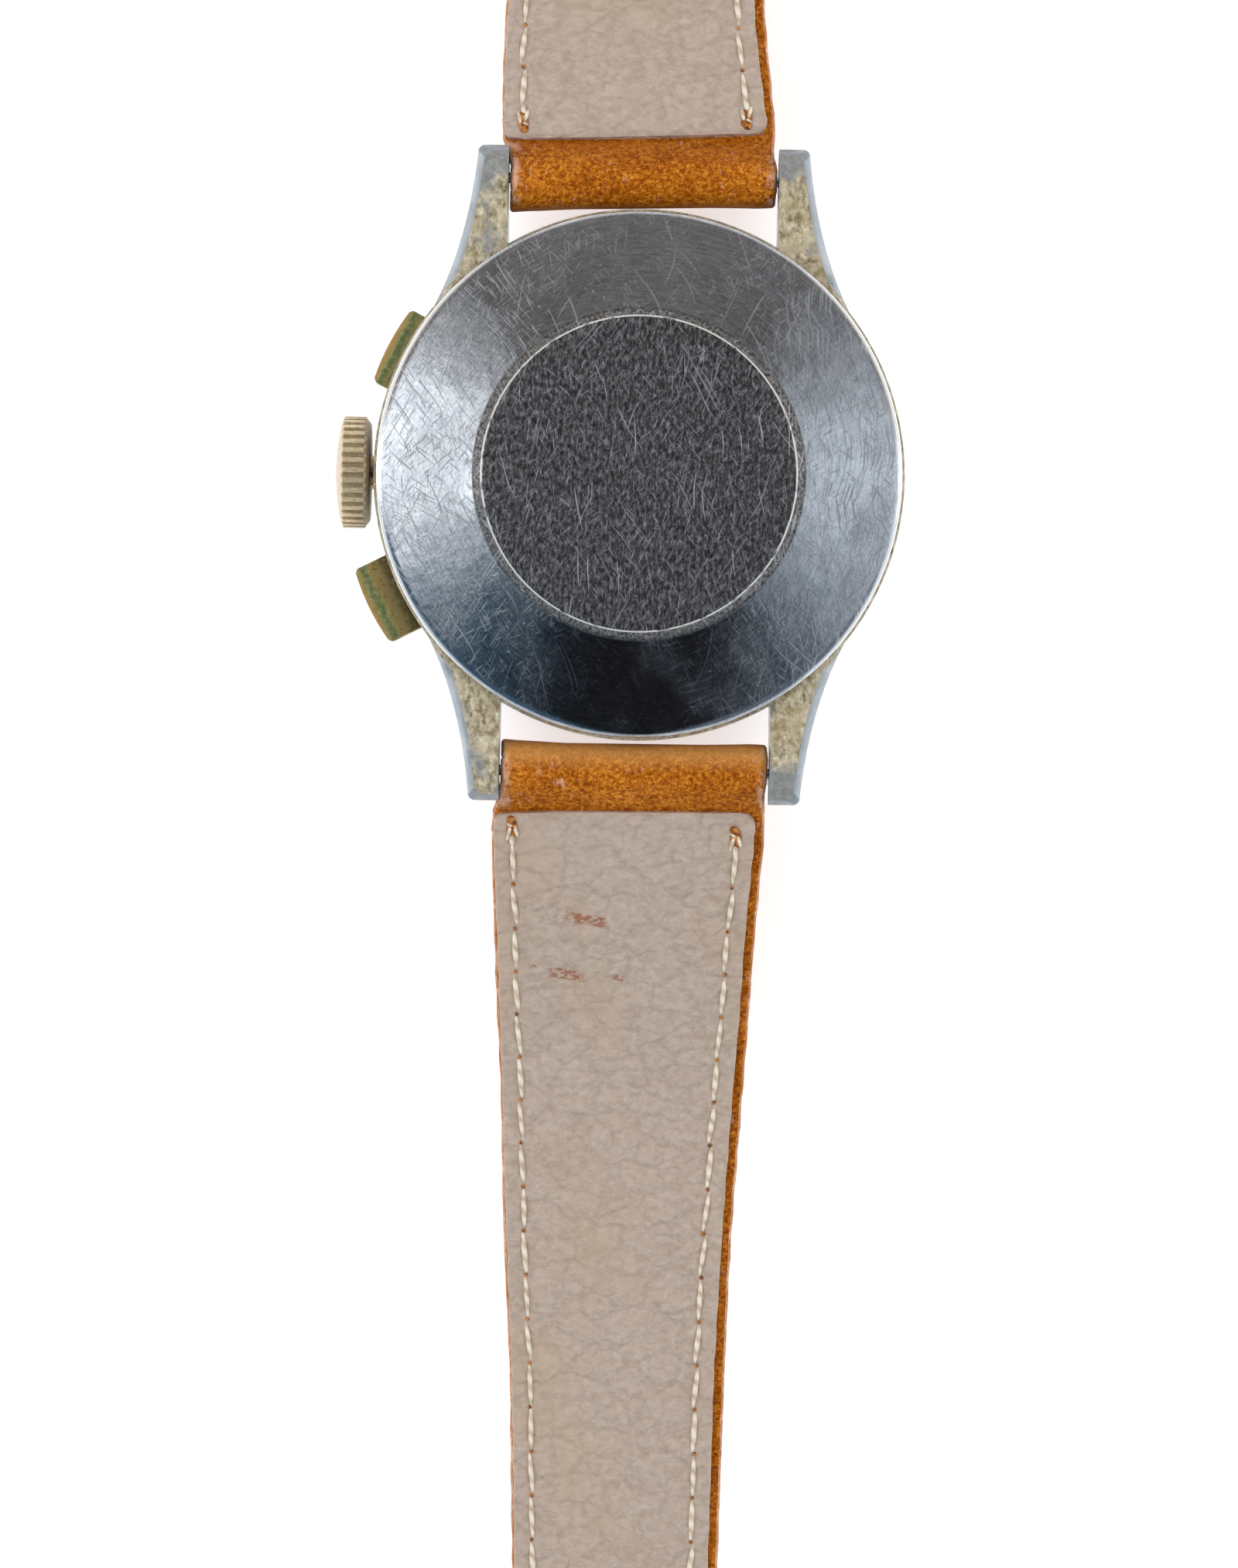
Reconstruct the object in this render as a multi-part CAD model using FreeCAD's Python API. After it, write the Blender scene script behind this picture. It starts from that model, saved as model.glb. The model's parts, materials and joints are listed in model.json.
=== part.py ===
import FreeCAD, Part
import math
import os

# Vintage manual-wind chronograph wristwatch, millimetres.
# Frame: origin at the middle of the case back's raised flat face.
# +Z points out of the case back, +Y to twelve o'clock, the crown is at -X.
# The watch lies face down, on its crystal, with both strap halves on the table.

V = FreeCAD.Vector
os.makedirs("parts", exist_ok=True)

# ---------------------------------------------------------------- case sizes
case_r = 18.95
case_top = -1.6
case_bottom = -9.0
case_edge = 0.3
total_thickness = 13.0
movement_bore_r = 15.6
clamp_bore_r = 16.25
dial_ledge_r = 14.7
neck_r = 16.9
neck_height = 0.36
snap_gap = 0.05

back_rim_step = 0.2
back_disc_r = 11.25
back_foot_r = 11.85
back_step = 0.45
back_annulus_drop = 0.325
back_bevel_w = 0.5
back_bevel_drop = 0.275
back_thickness = 0.75
back_disc_chamfer = 0.08

bezel_step = 0.45
bezel_slope_w = 1.4
bezel_lip = 0.3
bezel_depth = 1.7
crystal_r = 16.3
crystal_fit = 0.05
crystal_wall = 0.8
crystal_shoulder = 1.8
crystal_centre_thickness = 1.1

# ---------------------------------------------------------------- lugs
lug_gap = 19.3
lug_past_bar = 2.2
lug_tip_w = 2.2
lug_waist_w = 2.7
lug_waist_back = 1.9
lug_flank_w = 3.8
lug_flank_back = 6.1
lug_root_x = 15.6
lug_root_depth = 0.2
lug_inner_y = 12.0
lug_back_z = -1.75
lug_tip_back_z = -1.95
lug_tip_front_z = -5.9
lug_front_z = -8.6
lug_chamfer = 0.6
bar_from_case = 2.25
bar_z = -4.2
bar_r = 0.8
bar_pivot_r = 0.4
bar_shoulder = 0.1
bar_pivot_len = 1.0
bar_hole_gap = 0.04

# ---------------------------------------------------------------- crown and pushers
stem_z = -5.6
stem_r = 0.55
stem_inner_x = -9.6
stem_bore_gap = 0.05
crown_r = 4.0
crown_gap = 0.3
crown_knurl_len = 1.9
crown_dome = 0.6
crown_bevel = 0.38
crown_bevel_depth = 0.5
crown_face_depth = 0.45
crown_flutes = 34
crown_flute_r = 0.19
crown_flute_depth = 0.19
crown_socket_r = 1.4
crown_socket_depth = 1.15
crown_tube_r = 1.2
crown_tube_bore = 0.75
crown_tube_out = 0.75
crown_pull = 1.2

pusher_angle = 27.0
pusher_z = -5.0
pusher_w = 5.75
pusher_h = 2.5
pusher_reach = 2.55
pusher_travel = 1.25
pusher_cap_len = 2.8
pusher_crown_sag = 0.22
pusher_edge = 0.22
pusher_fit = 0.05
pusher_stem_r = 0.5
pusher_stem_end_r = 15.2
pusher_floor_gap = 0.1
pusher_tube_r = 1.25
pusher_tube_bore = 1.0
pusher_tube_floor = 0.3
pusher_tube_gap = 0.05
pusher_counterbore = 1.0
spring_wire_r = 0.11
spring_coil_r = 0.74
spring_turns = 5

# ---------------------------------------------------------------- movement levels
plate_r = 15.3
rim_inner_r = 13.7
plate_bottom = -7.4
plate_top = -5.9
rim_top = -3.45
dial_seat_r = 14.6
bridge_top = -2.8
bridge_split = 0.15
chrono_level = -2.0
chrono_wheel_t = 0.25
lever_low = -2.7
lever_top = -2.35
top_bridge_low = -1.65
top_bridge_top = -1.32
pivot_gap = 0.04

dial_r = 15.2
dial_front = -8.5
dial_back = -8.1
register_x = 6.6
register_r = 4.1
register_depth = 0.06

# gear modules and tooth counts
train_m1 = 0.11
train_m2 = 0.105
train_m3 = 0.075
barrel_m = 0.14
winding_m = 0.2
motion_m = 0.125
chrono_m = 0.1
barrel_teeth = 72
center_pinion_teeth = 10
center_teeth = 64
third_pinion_teeth = 8
third_teeth = 60
fourth_pinion_teeth = 8
fourth_teeth = 80
escape_pinion_teeth = 8
escape_teeth = 15
winding_pinion_teeth = 15
crown_wheel_teeth = 24
intermediate_teeth = 12
ratchet_teeth = 32
cannon_teeth = 12
minute_wheel_teeth = 36
minute_pinion_teeth = 10
hour_teeth = 40
runner_teeth = 44
coupling_teeth = 22
counter_teeth = 60
wheel_t = 0.25
barrel_angle = -125.0
crown_wheel_x = -9.8
balance_x = 5.2
balance_y = -9.0
balance_r = 4.6
escape_angle = -75.0
escape_r = 2.0
column_x = -4.2
column_y = 9.6
tab_back = 0.45
lever_pivot_a = (-7.9, 11.4)
lever_pivot_b = (-7.9, -11.4)

# ---------------------------------------------------------------- strap sizes
leather_t = 1.3
lining_t = 1.0
loop_r = 2.0
loop_bore_gap = 0.06
loop_fold_len = 2.9
strap_slope = 22.0
strap_bend_r = 40.0
strap_side_gap = 0.15
# (narrowing from the width at the lugs, distance past the spring bar)
strap_taper = [(0.0, -2.3), (0.0, 2.2), (-0.30, 3.2), (0.2, 14.8), (0.95, 27.8), (1.72, 44.1), (2.0, 56.8), (2.5, 71.8)]
lining_inset = 0.35
stitch_inset = 1.75
stitch_w = 0.42
stitch_t = 0.12
short_len = 73.8
long_len = 113.8
long_tip_r = 8.0
hole_count = 6
hole_pitch = 6.5
hole_from_tip = 22.0
hole_r = 0.9
buckle_bar_r = 0.75
buckle_side_gap = 0.4
buckle_arm_w = 1.7
buckle_reach = 11.4
buckle_front_w = 2.4
buckle_t = 1.9
tongue_w = 1.8
tongue_t = 0.9
tongue_slot_w = 2.3
tongue_slot_len = 5.0
keeper_w = 4.2
keeper_t = 0.9
keeper_gap = 0.08
keeper_side_gap = 0.38
fixed_keeper_back = 11.0
free_keeper_back = 23.0

# ---------------------------------------------------------------- helpers


def cyl(r, z0, z1, x=0.0, y=0.0):
    """Upright cylinder between two levels."""
    return Part.makeCylinder(r, z1 - z0, V(x, y, z0))


def tube(r_out, r_in, z0, z1, x=0.0, y=0.0):
    """Upright ring."""
    return cyl(r_out, z0, z1, x, y).cut(cyl(r_in, z0 - 1.0, z1 + 1.0, x, y))


def rod_x(r, x0, x1, y, z):
    """Cylinder along X."""
    return Part.makeCylinder(r, x1 - x0, V(x0, y, z), V(1, 0, 0))


def spun(points, axis_dir=V(0, 0, 1), base=V(0, 0, 0)):
    """Solid of revolution from (radius, level) corners about the Z axis."""
    pts = [V(r, 0, z) for r, z in points]
    wire = Part.makePolygon(pts + [pts[0]])
    return Part.Face(wire).revolve(base, axis_dir, 360)


def prism(points, z0, z1):
    """Upright prism from plan corners."""
    pts = [V(x, y, z0) for x, y in points]
    wire = Part.makePolygon(pts + [pts[0]])
    return Part.Face(wire).extrude(V(0, 0, z1 - z0))


def bar_between(x0, y0, x1, y1, w, z0, z1):
    """Flat bar with round ends between two plan points."""
    length = math.hypot(x1 - x0, y1 - y0)
    ux = (x1 - x0) / length * w / 2
    uy = (y1 - y0) / length * w / 2
    body = prism([(x0 - uy, y0 + ux), (x0 + uy, y0 - ux), (x1 + uy, y1 - ux), (x1 - uy, y1 + ux)], z0, z1)
    return body.fuse([cyl(w / 2, z0, z1, x0, y0), cyl(w / 2, z0, z1, x1, y1)]).removeSplitter()


def gear(teeth, module, z0, z1, x=0.0, y=0.0, phase=0.0):
    """Spur wheel with flat-sided teeth and generous backlash; one tooth points at phase."""
    pitch_r = teeth * module / 2
    root_r = pitch_r - 1.2 * module
    tip_r = pitch_r + 0.9 * module
    step = 2 * math.pi / teeth
    half_root = 0.27 * step
    half_tip = 0.11 * step
    pts = []
    for i in range(teeth):
        a = math.radians(phase) + i * step
        for r, d in ((root_r, -half_root), (tip_r, -half_tip), (tip_r, half_tip), (root_r, half_root)):
            pts.append((x + r * math.cos(a + d), y + r * math.sin(a + d)))
    return prism(pts, z0, z1)


def meshed(driver_phase, driver_teeth, driven_teeth, direction):
    """Phase of a wheel meshed with a driver whose line of centres points along direction."""
    step = 360.0 / driver_teeth
    offset = ((driver_phase - direction) / step) % 1.0
    return direction + 180.0 + (0.5 - offset) * 360.0 / driven_teeth


def windows(shape, count, ring_r, hole, z0, z1, x=0.0, y=0.0, start=0.0):
    """Cut round lightening holes in a wheel."""
    cuts = []
    for i in range(count):
        a = math.radians(start) + 2 * math.pi * i / count
        cuts.append(cyl(hole, z0 - 0.5, z1 + 0.5, x + ring_r * math.cos(a), y + ring_r * math.sin(a)))
    return shape.cut(cuts)


def spiral(r0, pitch, turns, thick, z0, z1, x, y):
    """Flat spiral strip made of half-circle arcs."""
    step = pitch / 2
    edges = []
    count = 2 * turns
    for side in (-0.5, 0.5):
        for k in range(count):
            r = r0 + k * step + side * thick
            cx = x if k % 2 == 0 else x + step
            start = math.pi * (k % 2)
            a = V(cx + r * math.cos(start), y + r * math.sin(start), z0)
            m = V(cx + r * math.cos(start + math.pi / 2), y + r * math.sin(start + math.pi / 2), z0)
            b = V(cx + r * math.cos(start + math.pi), y + r * math.sin(start + math.pi), z0)
            edges.append(Part.Arc(a, m, b).toShape())
    end_r = r0 + count * step
    for r in (r0, end_r):
        edges.append(Part.makeLine(V(x + r - thick / 2, y, z0), V(x + r + thick / 2, y, z0)))
    wire = Part.Wire(Part.__sortEdges__(edges))
    return Part.Face(wire).extrude(V(0, 0, z1 - z0))


def polar(r, degrees, x=0.0, y=0.0):
    """Plan point at a radius and an angle."""
    a = math.radians(degrees)
    return (x + r * math.cos(a), y + r * math.sin(a))


def radial(shape, degrees):
    """Turn a shape built along +X to point along an angle in plan."""
    shape.rotate(V(0, 0, 0), V(0, 0, 1), degrees)
    return shape


def save(name, shape):
    """Write one node."""
    shape.exportStep("parts/" + name + ".step")


def one(shapes):
    """Fuse a list into a single clean solid."""
    return shapes[0].fuse(shapes[1:]).removeSplitter()


apex_z = -total_thickness
back_r = case_r - back_rim_step
back_bevel_r = back_r - back_bevel_w
bezel_r = case_r - bezel_step
bezel_front_r = bezel_r - bezel_slope_w
bar_y = case_r + bar_from_case
lug_reach = bar_y + lug_past_bar
lug_waist_x = lug_gap / 2 + lug_waist_w
lug_waist_y = bar_y - lug_waist_back
lug_flank_x = lug_gap / 2 + lug_flank_w
lug_flank_y = bar_y - lug_flank_back
lug_root_y = math.sqrt((case_r - lug_root_depth) ** 2 - lug_root_x ** 2)
crown_inner_x = -case_r - crown_gap
crown_knurl_x = crown_inner_x - crown_knurl_len
crown_tip_x = crown_knurl_x - crown_dome
crown_bevel_r = crown_r - crown_bevel_depth
crown_face_r = crown_r - crown_face_depth
pusher_out_r = case_r + pusher_reach
pusher_pocket_r = pusher_out_r - pusher_travel - pusher_cap_len - pusher_floor_gap
pusher_tube_start_r = movement_bore_r + pusher_tube_gap
short_end_y = bar_y + short_len
long_end_y = bar_y + long_len
buckle_front_y = short_end_y + buckle_reach
fixed_keeper_y = short_end_y - fixed_keeper_back
free_keeper_y = short_end_y - free_keeper_back
strap_half_w = [(lug_gap / 2 - strap_side_gap - narrowing, bar_y + past) for narrowing, past in strap_taper]
buckle_half_w = strap_half_w[-1][0] + buckle_side_gap + buckle_arm_w
start_angle = 180.0 - pusher_angle
reset_angle = 180.0 + pusher_angle

# ---------------------------------------------------------------- movement axes
barrel_dist = barrel_m * (barrel_teeth + center_pinion_teeth) / 2
barrel_x, barrel_y = polar(barrel_dist, barrel_angle)
center_third = train_m1 * (center_teeth + third_pinion_teeth) / 2
third_fourth = train_m2 * (third_teeth + fourth_pinion_teeth) / 2
third_cos = (center_third ** 2 + register_x ** 2 - third_fourth ** 2) / (2 * center_third * register_x)
third_angle = math.degrees(math.acos(third_cos))
third_x, third_y = polar(center_third, third_angle)
fourth_x, fourth_y = register_x, 0.0
escape_dist = train_m3 * (fourth_teeth + escape_pinion_teeth) / 2
escape_x, escape_y = polar(escape_dist, escape_angle, fourth_x, fourth_y)
pallet_dir = math.degrees(math.atan2(balance_y - escape_y, balance_x - escape_x))
pallet_dist = escape_r / math.cos(math.radians(30.0)) + 0.12
pallet_x, pallet_y = polar(pallet_dist, pallet_dir, escape_x, escape_y)
counter_x, counter_y = -register_x, 0.0
ratchet_r = winding_m * ratchet_teeth / 2
crown_wheel_r = winding_m * crown_wheel_teeth / 2
to_ratchet = math.degrees(math.atan2(barrel_y, barrel_x - crown_wheel_x))
inter_dist = winding_m * (crown_wheel_teeth + intermediate_teeth) / 2
inter_x, inter_y = polar(inter_dist, to_ratchet, crown_wheel_x, 0.0)

# ---------------------------------------------------------------- case middle with four lugs


def lug_plan(inset, level):
    """Plan wire of the +X +Y lug at a level, its outer edge drawn in by inset."""
    inner = lug_gap / 2
    tip_x = inner + lug_tip_w - inset
    reach = lug_reach - inset
    flank = Part.BSplineCurve()
    flank.interpolate([V(lug_root_x - inset, lug_root_y, level), V(lug_flank_x - inset, lug_flank_y, level),
                       V(lug_waist_x - inset, lug_waist_y, level), V(tip_x, reach - 0.6, level)])
    tip = Part.Arc(V(tip_x, reach - 0.6, level), V(tip_x - 0.15, reach - 0.15, level), V(tip_x - 0.6, reach, level))
    return Part.Wire([flank.toShape(), tip.toShape(),
                      Part.makeLine(V(tip_x - 0.6, reach, level), V(inner, reach, level)),
                      Part.makeLine(V(inner, reach, level), V(inner, lug_inner_y, level)),
                      Part.makeLine(V(inner, lug_inner_y, level), V(lug_root_x - inset, lug_root_y, level))])


def lug():
    """One lug in the +X +Y corner, flank hollowed, outer back edge chamfered."""
    low = lug_back_z - lug_chamfer
    block = Part.Face(lug_plan(0.0, low - 9.0)).extrude(V(0, 0, 9.0))
    cap = Part.makeLoft([lug_plan(0.0, low), lug_plan(lug_chamfer, lug_back_z)], True, True)
    block = block.fuse(cap)
    side = [V(0, 5.0, lug_back_z), V(0, bar_y - 4.2, lug_back_z), V(0, lug_reach, lug_tip_back_z),
            V(0, lug_reach + 2.0, lug_tip_back_z - 0.1), V(0, lug_reach + 2.0, lug_tip_front_z + 0.4)]
    sweep = Part.Arc(V(0, lug_reach, lug_tip_front_z), V(0, bar_y - 1.6, -7.75), V(0, bar_y - 7.2, lug_front_z))
    lines = [Part.makeLine(side[i], side[i + 1]) for i in range(4)]
    lines.append(Part.makeLine(side[4], V(0, lug_reach, lug_tip_front_z)))
    lines.append(sweep.toShape())
    lines.append(Part.makeLine(V(0, bar_y - 7.2, lug_front_z), V(0, 5.0, lug_front_z)))
    lines.append(Part.makeLine(V(0, 5.0, lug_front_z), side[0]))
    profile = Part.Face(Part.Wire(lines)).extrude(V(20.0, 0, 0))
    return block.common(profile)


ring = spun([(dial_ledge_r, case_bottom), (case_r - case_edge, case_bottom), (case_r, case_bottom + case_edge),
             (case_r, case_top - case_edge), (case_r - case_edge, case_top), (neck_r, case_top),
             (neck_r, case_top + neck_height), (clamp_bore_r, case_top + neck_height), (clamp_bore_r, rim_top),
             (movement_bore_r, rim_top), (movement_bore_r, dial_front - 0.05), (dial_ledge_r, dial_front - 0.05)])
lug_a = lug()
lug_b = lug_a.mirror(V(0, 0, 0), V(1, 0, 0))
lug_c = lug_a.mirror(V(0, 0, 0), V(0, 1, 0))
lug_d = lug_b.mirror(V(0, 0, 0), V(0, 1, 0))
bore_keep = cyl(clamp_bore_r + 0.3, -11.0, 0.0)
lugs = [piece.cut(bore_keep) for piece in (lug_a, lug_b, lug_c, lug_d)]
case_middle = one([ring] + lugs)

pivot_hole_r = bar_pivot_r + bar_hole_gap
lug_holes = []
for sy in (-1, 1):
    for sx in (-1, 1):
        x0 = sx * lug_gap / 2
        x1 = x0 + sx * (bar_pivot_len + 0.05)
        lug_holes.append(rod_x(pivot_hole_r, min(x0, x1) - 0.01, max(x0, x1), sy * bar_y, bar_z))
case_middle = case_middle.cut(lug_holes)


def pusher_pocket(angle):
    """Opening in the case band for a pusher's cap and its tube."""
    cap = Part.makeBox(3.0, pusher_w + 2 * pusher_fit, pusher_h + 2 * pusher_fit,
                       V(pusher_pocket_r, -pusher_w / 2 - pusher_fit, pusher_z - pusher_h / 2 - pusher_fit))
    bore = rod_x(pusher_tube_r, pusher_tube_start_r - 0.3, pusher_pocket_r + 0.1, 0.0, pusher_z)
    return radial(cap.fuse(bore), angle)


case_middle = case_middle.cut([pusher_pocket(start_angle), pusher_pocket(reset_angle)])
case_middle = case_middle.cut(rod_x(crown_tube_r, -case_r - 1.0, -movement_bore_r + 0.5, 0.0, stem_z))
save("case_middle", case_middle)

# ---------------------------------------------------------------- case back
foot_z = -back_step
bevel_z = foot_z - back_annulus_drop
side_z = bevel_z - back_bevel_drop
inner_z = case_top + neck_height + snap_gap
case_back = spun([(0, 0), (back_disc_r - back_disc_chamfer, 0), (back_disc_r, -back_disc_chamfer),
                  (back_foot_r, foot_z), (back_bevel_r, bevel_z), (back_r, side_z), (back_r, case_top),
                  (neck_r + snap_gap, case_top), (neck_r + snap_gap, inner_z),
                  (back_foot_r - 0.3, inner_z), (back_foot_r - 0.8, -back_thickness), (0, -back_thickness)])
save("case_back", case_back)

# ---------------------------------------------------------------- bezel and crystal
bezel_front = case_bottom - bezel_depth
bezel = spun([(crystal_r + crystal_fit, case_bottom), (bezel_r, case_bottom), (bezel_r, case_bottom - bezel_lip),
              (bezel_front_r, bezel_front), (crystal_r + crystal_fit, bezel_front)])
save("bezel", bezel)

shoulder_z = case_bottom - crystal_shoulder


def dome(r, edge_z, top_z):
    """Cap of a sphere through a rim and an apex, closed by a flat."""
    sag = edge_z - top_z
    sphere_r = (r * r + sag * sag) / (2 * sag)
    centre = top_z + sphere_r
    mid_a = math.asin(r / sphere_r) / 2
    arc = Part.Arc(V(r, 0, edge_z), V(sphere_r * math.sin(mid_a), 0, centre - sphere_r * math.cos(mid_a)),
                   V(0, 0, top_z))
    lines = [arc.toShape(), Part.makeLine(V(0, 0, top_z), V(0, 0, case_bottom)),
             Part.makeLine(V(0, 0, case_bottom), V(r, 0, case_bottom)),
             Part.makeLine(V(r, 0, case_bottom), V(r, 0, edge_z))]
    return Part.Face(Part.Wire(Part.__sortEdges__(lines))).revolve(V(0, 0, 0), V(0, 0, 1), 360)


crystal = dome(crystal_r, shoulder_z, apex_z)
inside = dome(crystal_r - crystal_wall, shoulder_z + 0.35, apex_z + crystal_centre_thickness)
crystal = crystal.cut(inside)
save("crystal", crystal)

# ---------------------------------------------------------------- tubes in the case band
tubes = [rod_x(crown_tube_r, -case_r - crown_tube_out, -movement_bore_r, 0.0, stem_z).cut(
    rod_x(crown_tube_bore, -case_r - 2.0, -movement_bore_r + 1.0, 0.0, stem_z))]
for angle in (start_angle, reset_angle):
    sleeve = rod_x(pusher_tube_r, pusher_tube_start_r, pusher_pocket_r, 0.0, pusher_z)
    sleeve = sleeve.cut(rod_x(pusher_tube_bore, pusher_tube_start_r + pusher_tube_floor, pusher_out_r, 0.0, pusher_z))
    sleeve = sleeve.cut(rod_x(pusher_stem_r + pusher_fit, dial_ledge_r - 0.7, pusher_out_r, 0.0, pusher_z))
    tubes.append(radial(sleeve, angle))
save("case_tubes", Part.makeCompound(tubes))

# ---------------------------------------------------------------- spring bars
bars = []
bar_half = lug_gap / 2 - bar_shoulder
for sy in (-1, 1):
    core = rod_x(bar_r, -bar_half, bar_half, sy * bar_y, bar_z)
    ends = rod_x(bar_pivot_r, -lug_gap / 2 - bar_pivot_len, lug_gap / 2 + bar_pivot_len, sy * bar_y, bar_z)
    bars.append(one([core, ends]))
save("spring_bars", Part.makeCompound(bars))

# ---------------------------------------------------------------- crown and stem


def spun_x(points, z):
    """Solid of revolution about the stem axis from (x, radius) corners."""
    pts = [V(x, r, 0) for x, r in points]
    wire = Part.makePolygon(pts + [pts[0]])
    solid = Part.Face(wire).revolve(V(0, 0, 0), V(1, 0, 0), 360)
    solid.translate(V(0, 0, z))
    return solid


dome_sag = crown_knurl_x - crown_tip_x
dome_sphere = (crown_face_r ** 2 + (dome_sag - 0.2) ** 2) / (2 * (dome_sag - 0.2))
arc_mid = math.asin(crown_face_r / dome_sphere) / 2
face_arc = Part.Arc(V(crown_knurl_x - 0.2, crown_face_r, 0),
                    V(crown_tip_x + dome_sphere * (1 - math.cos(arc_mid)), dome_sphere * math.sin(arc_mid), 0),
                    V(crown_tip_x, 0, 0))
crown_edges = [face_arc.toShape(),
               Part.makeLine(V(crown_tip_x, 0, 0), V(crown_inner_x, 0, 0)),
               Part.makeLine(V(crown_inner_x, 0, 0), V(crown_inner_x, crown_bevel_r, 0)),
               Part.makeLine(V(crown_inner_x, crown_bevel_r, 0), V(crown_inner_x - crown_bevel, crown_r, 0)),
               Part.makeLine(V(crown_inner_x - crown_bevel, crown_r, 0), V(crown_knurl_x, crown_r, 0)),
               Part.makeLine(V(crown_knurl_x, crown_r, 0), V(crown_knurl_x - 0.2, crown_face_r, 0))]
crown = Part.Face(Part.Wire(Part.__sortEdges__(crown_edges))).revolve(V(0, 0, 0), V(1, 0, 0), 360)
flute_cuts = []
for i in range(crown_flutes):
    a = 2 * math.pi * i / crown_flutes
    reach = crown_r + crown_flute_r - crown_flute_depth
    flute = Part.makeCylinder(crown_flute_r, 4.0, V(crown_inner_x - 3.0, reach * math.cos(a), reach * math.sin(a)),
                              V(1, 0, 0))
    flute_cuts.append(flute)
crown = crown.cut(flute_cuts)
crown.translate(V(0, 0, stem_z))
crown = crown.cut(rod_x(crown_socket_r, crown_inner_x - crown_socket_depth, crown_inner_x + 1.0, 0.0, stem_z))
crown = crown.cut(rod_x(stem_r, crown_inner_x - crown_socket_depth - 0.7, crown_inner_x, 0.0, stem_z))
save("crown", crown)
stem_outer_x = crown_inner_x - crown_socket_depth - 0.7
winding_stem = rod_x(stem_r, stem_outer_x, stem_inner_x, 0.0, stem_z)
save("winding_stem", winding_stem)

# ---------------------------------------------------------------- pushers


def pusher(shift):
    """Rectangular cap with a cushioned outer face on a round stem, built along +X."""
    outer = pusher_out_r - shift
    inner = outer - pusher_cap_len
    half = pusher_w / 2
    edge_x = outer - pusher_crown_sag
    pts = [V(inner, -half, 0), V(inner, half, 0), V(edge_x - pusher_edge, half, 0), V(edge_x, half - pusher_edge, 0)]
    lines = [Part.makeLine(pts[0], pts[1]), Part.makeLine(pts[1], pts[2]), Part.makeLine(pts[2], pts[3]),
             Part.Arc(pts[3], V(outer, 0, 0), V(edge_x, -half + pusher_edge, 0)).toShape(),
             Part.makeLine(V(edge_x, -half + pusher_edge, 0), V(edge_x - pusher_edge, -half, 0)),
             Part.makeLine(V(edge_x - pusher_edge, -half, 0), pts[0])]
    cap = Part.Face(Part.Wire(lines)).extrude(V(0, 0, pusher_h))
    cap.translate(V(0, 0, pusher_z - pusher_h / 2))
    trim = []
    for s in (-1, 1):
        z_face = pusher_z + s * pusher_h / 2
        wedge = Part.makePolygon([V(outer - 0.35 - pusher_edge, -9, z_face), V(outer + 0.5, -9, z_face),
                                  V(outer + 0.5, -9, z_face - s * (pusher_edge + 0.6)),
                                  V(outer - 0.35 - pusher_edge, -9, z_face)])
        trim.append(Part.Face(wedge).extrude(V(0, 18, 0)))
    cap = cap.cut(trim)
    cap = cap.cut(rod_x(pusher_tube_bore, inner - 1.0, inner + pusher_counterbore, 0.0, pusher_z))
    stem = rod_x(pusher_stem_r, pusher_stem_end_r - shift, inner + pusher_counterbore + 0.2, 0.0, pusher_z)
    return one([cap, stem])


def pusher_spring(shift):
    """Coil between the tube's floor and the cap's counterbore, built along +X."""
    x0 = pusher_tube_start_r + pusher_tube_floor + spring_wire_r + 0.02
    x1 = pusher_out_r - shift - pusher_cap_len + pusher_counterbore - spring_wire_r - 0.02
    helix = Part.makeHelix((x1 - x0) / spring_turns, x1 - x0, spring_coil_r)
    section = [polar(spring_wire_r, 60.0 * k, spring_coil_r) for k in range(7)]
    profile = Part.makePolygon([V(px, 0, pz) for px, pz in section])
    coil = Part.Wire(helix).makePipeShell([profile], True, True)
    coil.rotate(V(0, 0, 0), V(0, 1, 0), 90)
    coil.translate(V(x0, 0, pusher_z))
    return coil


save("start_pusher", radial(pusher(pusher_travel), start_angle))
save("start_pusher_spring", radial(pusher_spring(pusher_travel), start_angle))
save("reset_pusher", radial(pusher(0.0), reset_angle))
save("reset_pusher_spring", radial(pusher_spring(0.0), reset_angle))

# ---------------------------------------------------------------- main plate
main_plate = spun([(0, plate_bottom), (dial_seat_r, plate_bottom), (dial_seat_r, dial_back),
                   (plate_r, dial_back), (plate_r, rim_top), (rim_inner_r, rim_top), (rim_inner_r, plate_top),
                   (0, plate_top)])
barrel_outer = barrel_m * barrel_teeth / 2 + 0.9 * barrel_m
notch_cuts = []
for angle in (start_angle, reset_angle):
    notch = Part.makeBox(3.2, 5.0, 5.0, V(12.6, -2.5, plate_top + 0.1))
    notch_cuts.append(radial(notch, angle))
plate_cuts = notch_cuts + [
    cyl(barrel_outer + 0.25, plate_bottom + 0.4, 0.0, barrel_x, barrel_y),
    cyl(0.8 + pivot_gap, -9.0, 0.0, barrel_x, barrel_y),
    cyl(0.5 + pivot_gap, -9.0, 0.0),
    cyl(0.25 + pivot_gap, -9.0, 0.0, third_x, third_y),
    cyl(0.25 + pivot_gap, -9.0, 0.0, fourth_x, fourth_y),
    cyl(0.2 + pivot_gap, -9.0, 0.0, escape_x, escape_y),
    cyl(0.2 + pivot_gap, -9.0, 0.0, pallet_x, pallet_y),
    cyl(0.25 + pivot_gap, -9.0, 0.0, balance_x, balance_y),
    cyl(0.25 + pivot_gap, -9.0, 0.0, counter_x, counter_y),
    cyl(balance_r + 0.45, plate_top, 0.0, balance_x, balance_y),
    Part.makeBox(1.3, 4.0, 9.0, V(-13.1, -2.0, -9.0)),
    rod_x(stem_r + 0.06, -17.0, -8.0, 0.0, stem_z)]
main_plate = main_plate.cut(plate_cuts)
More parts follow.
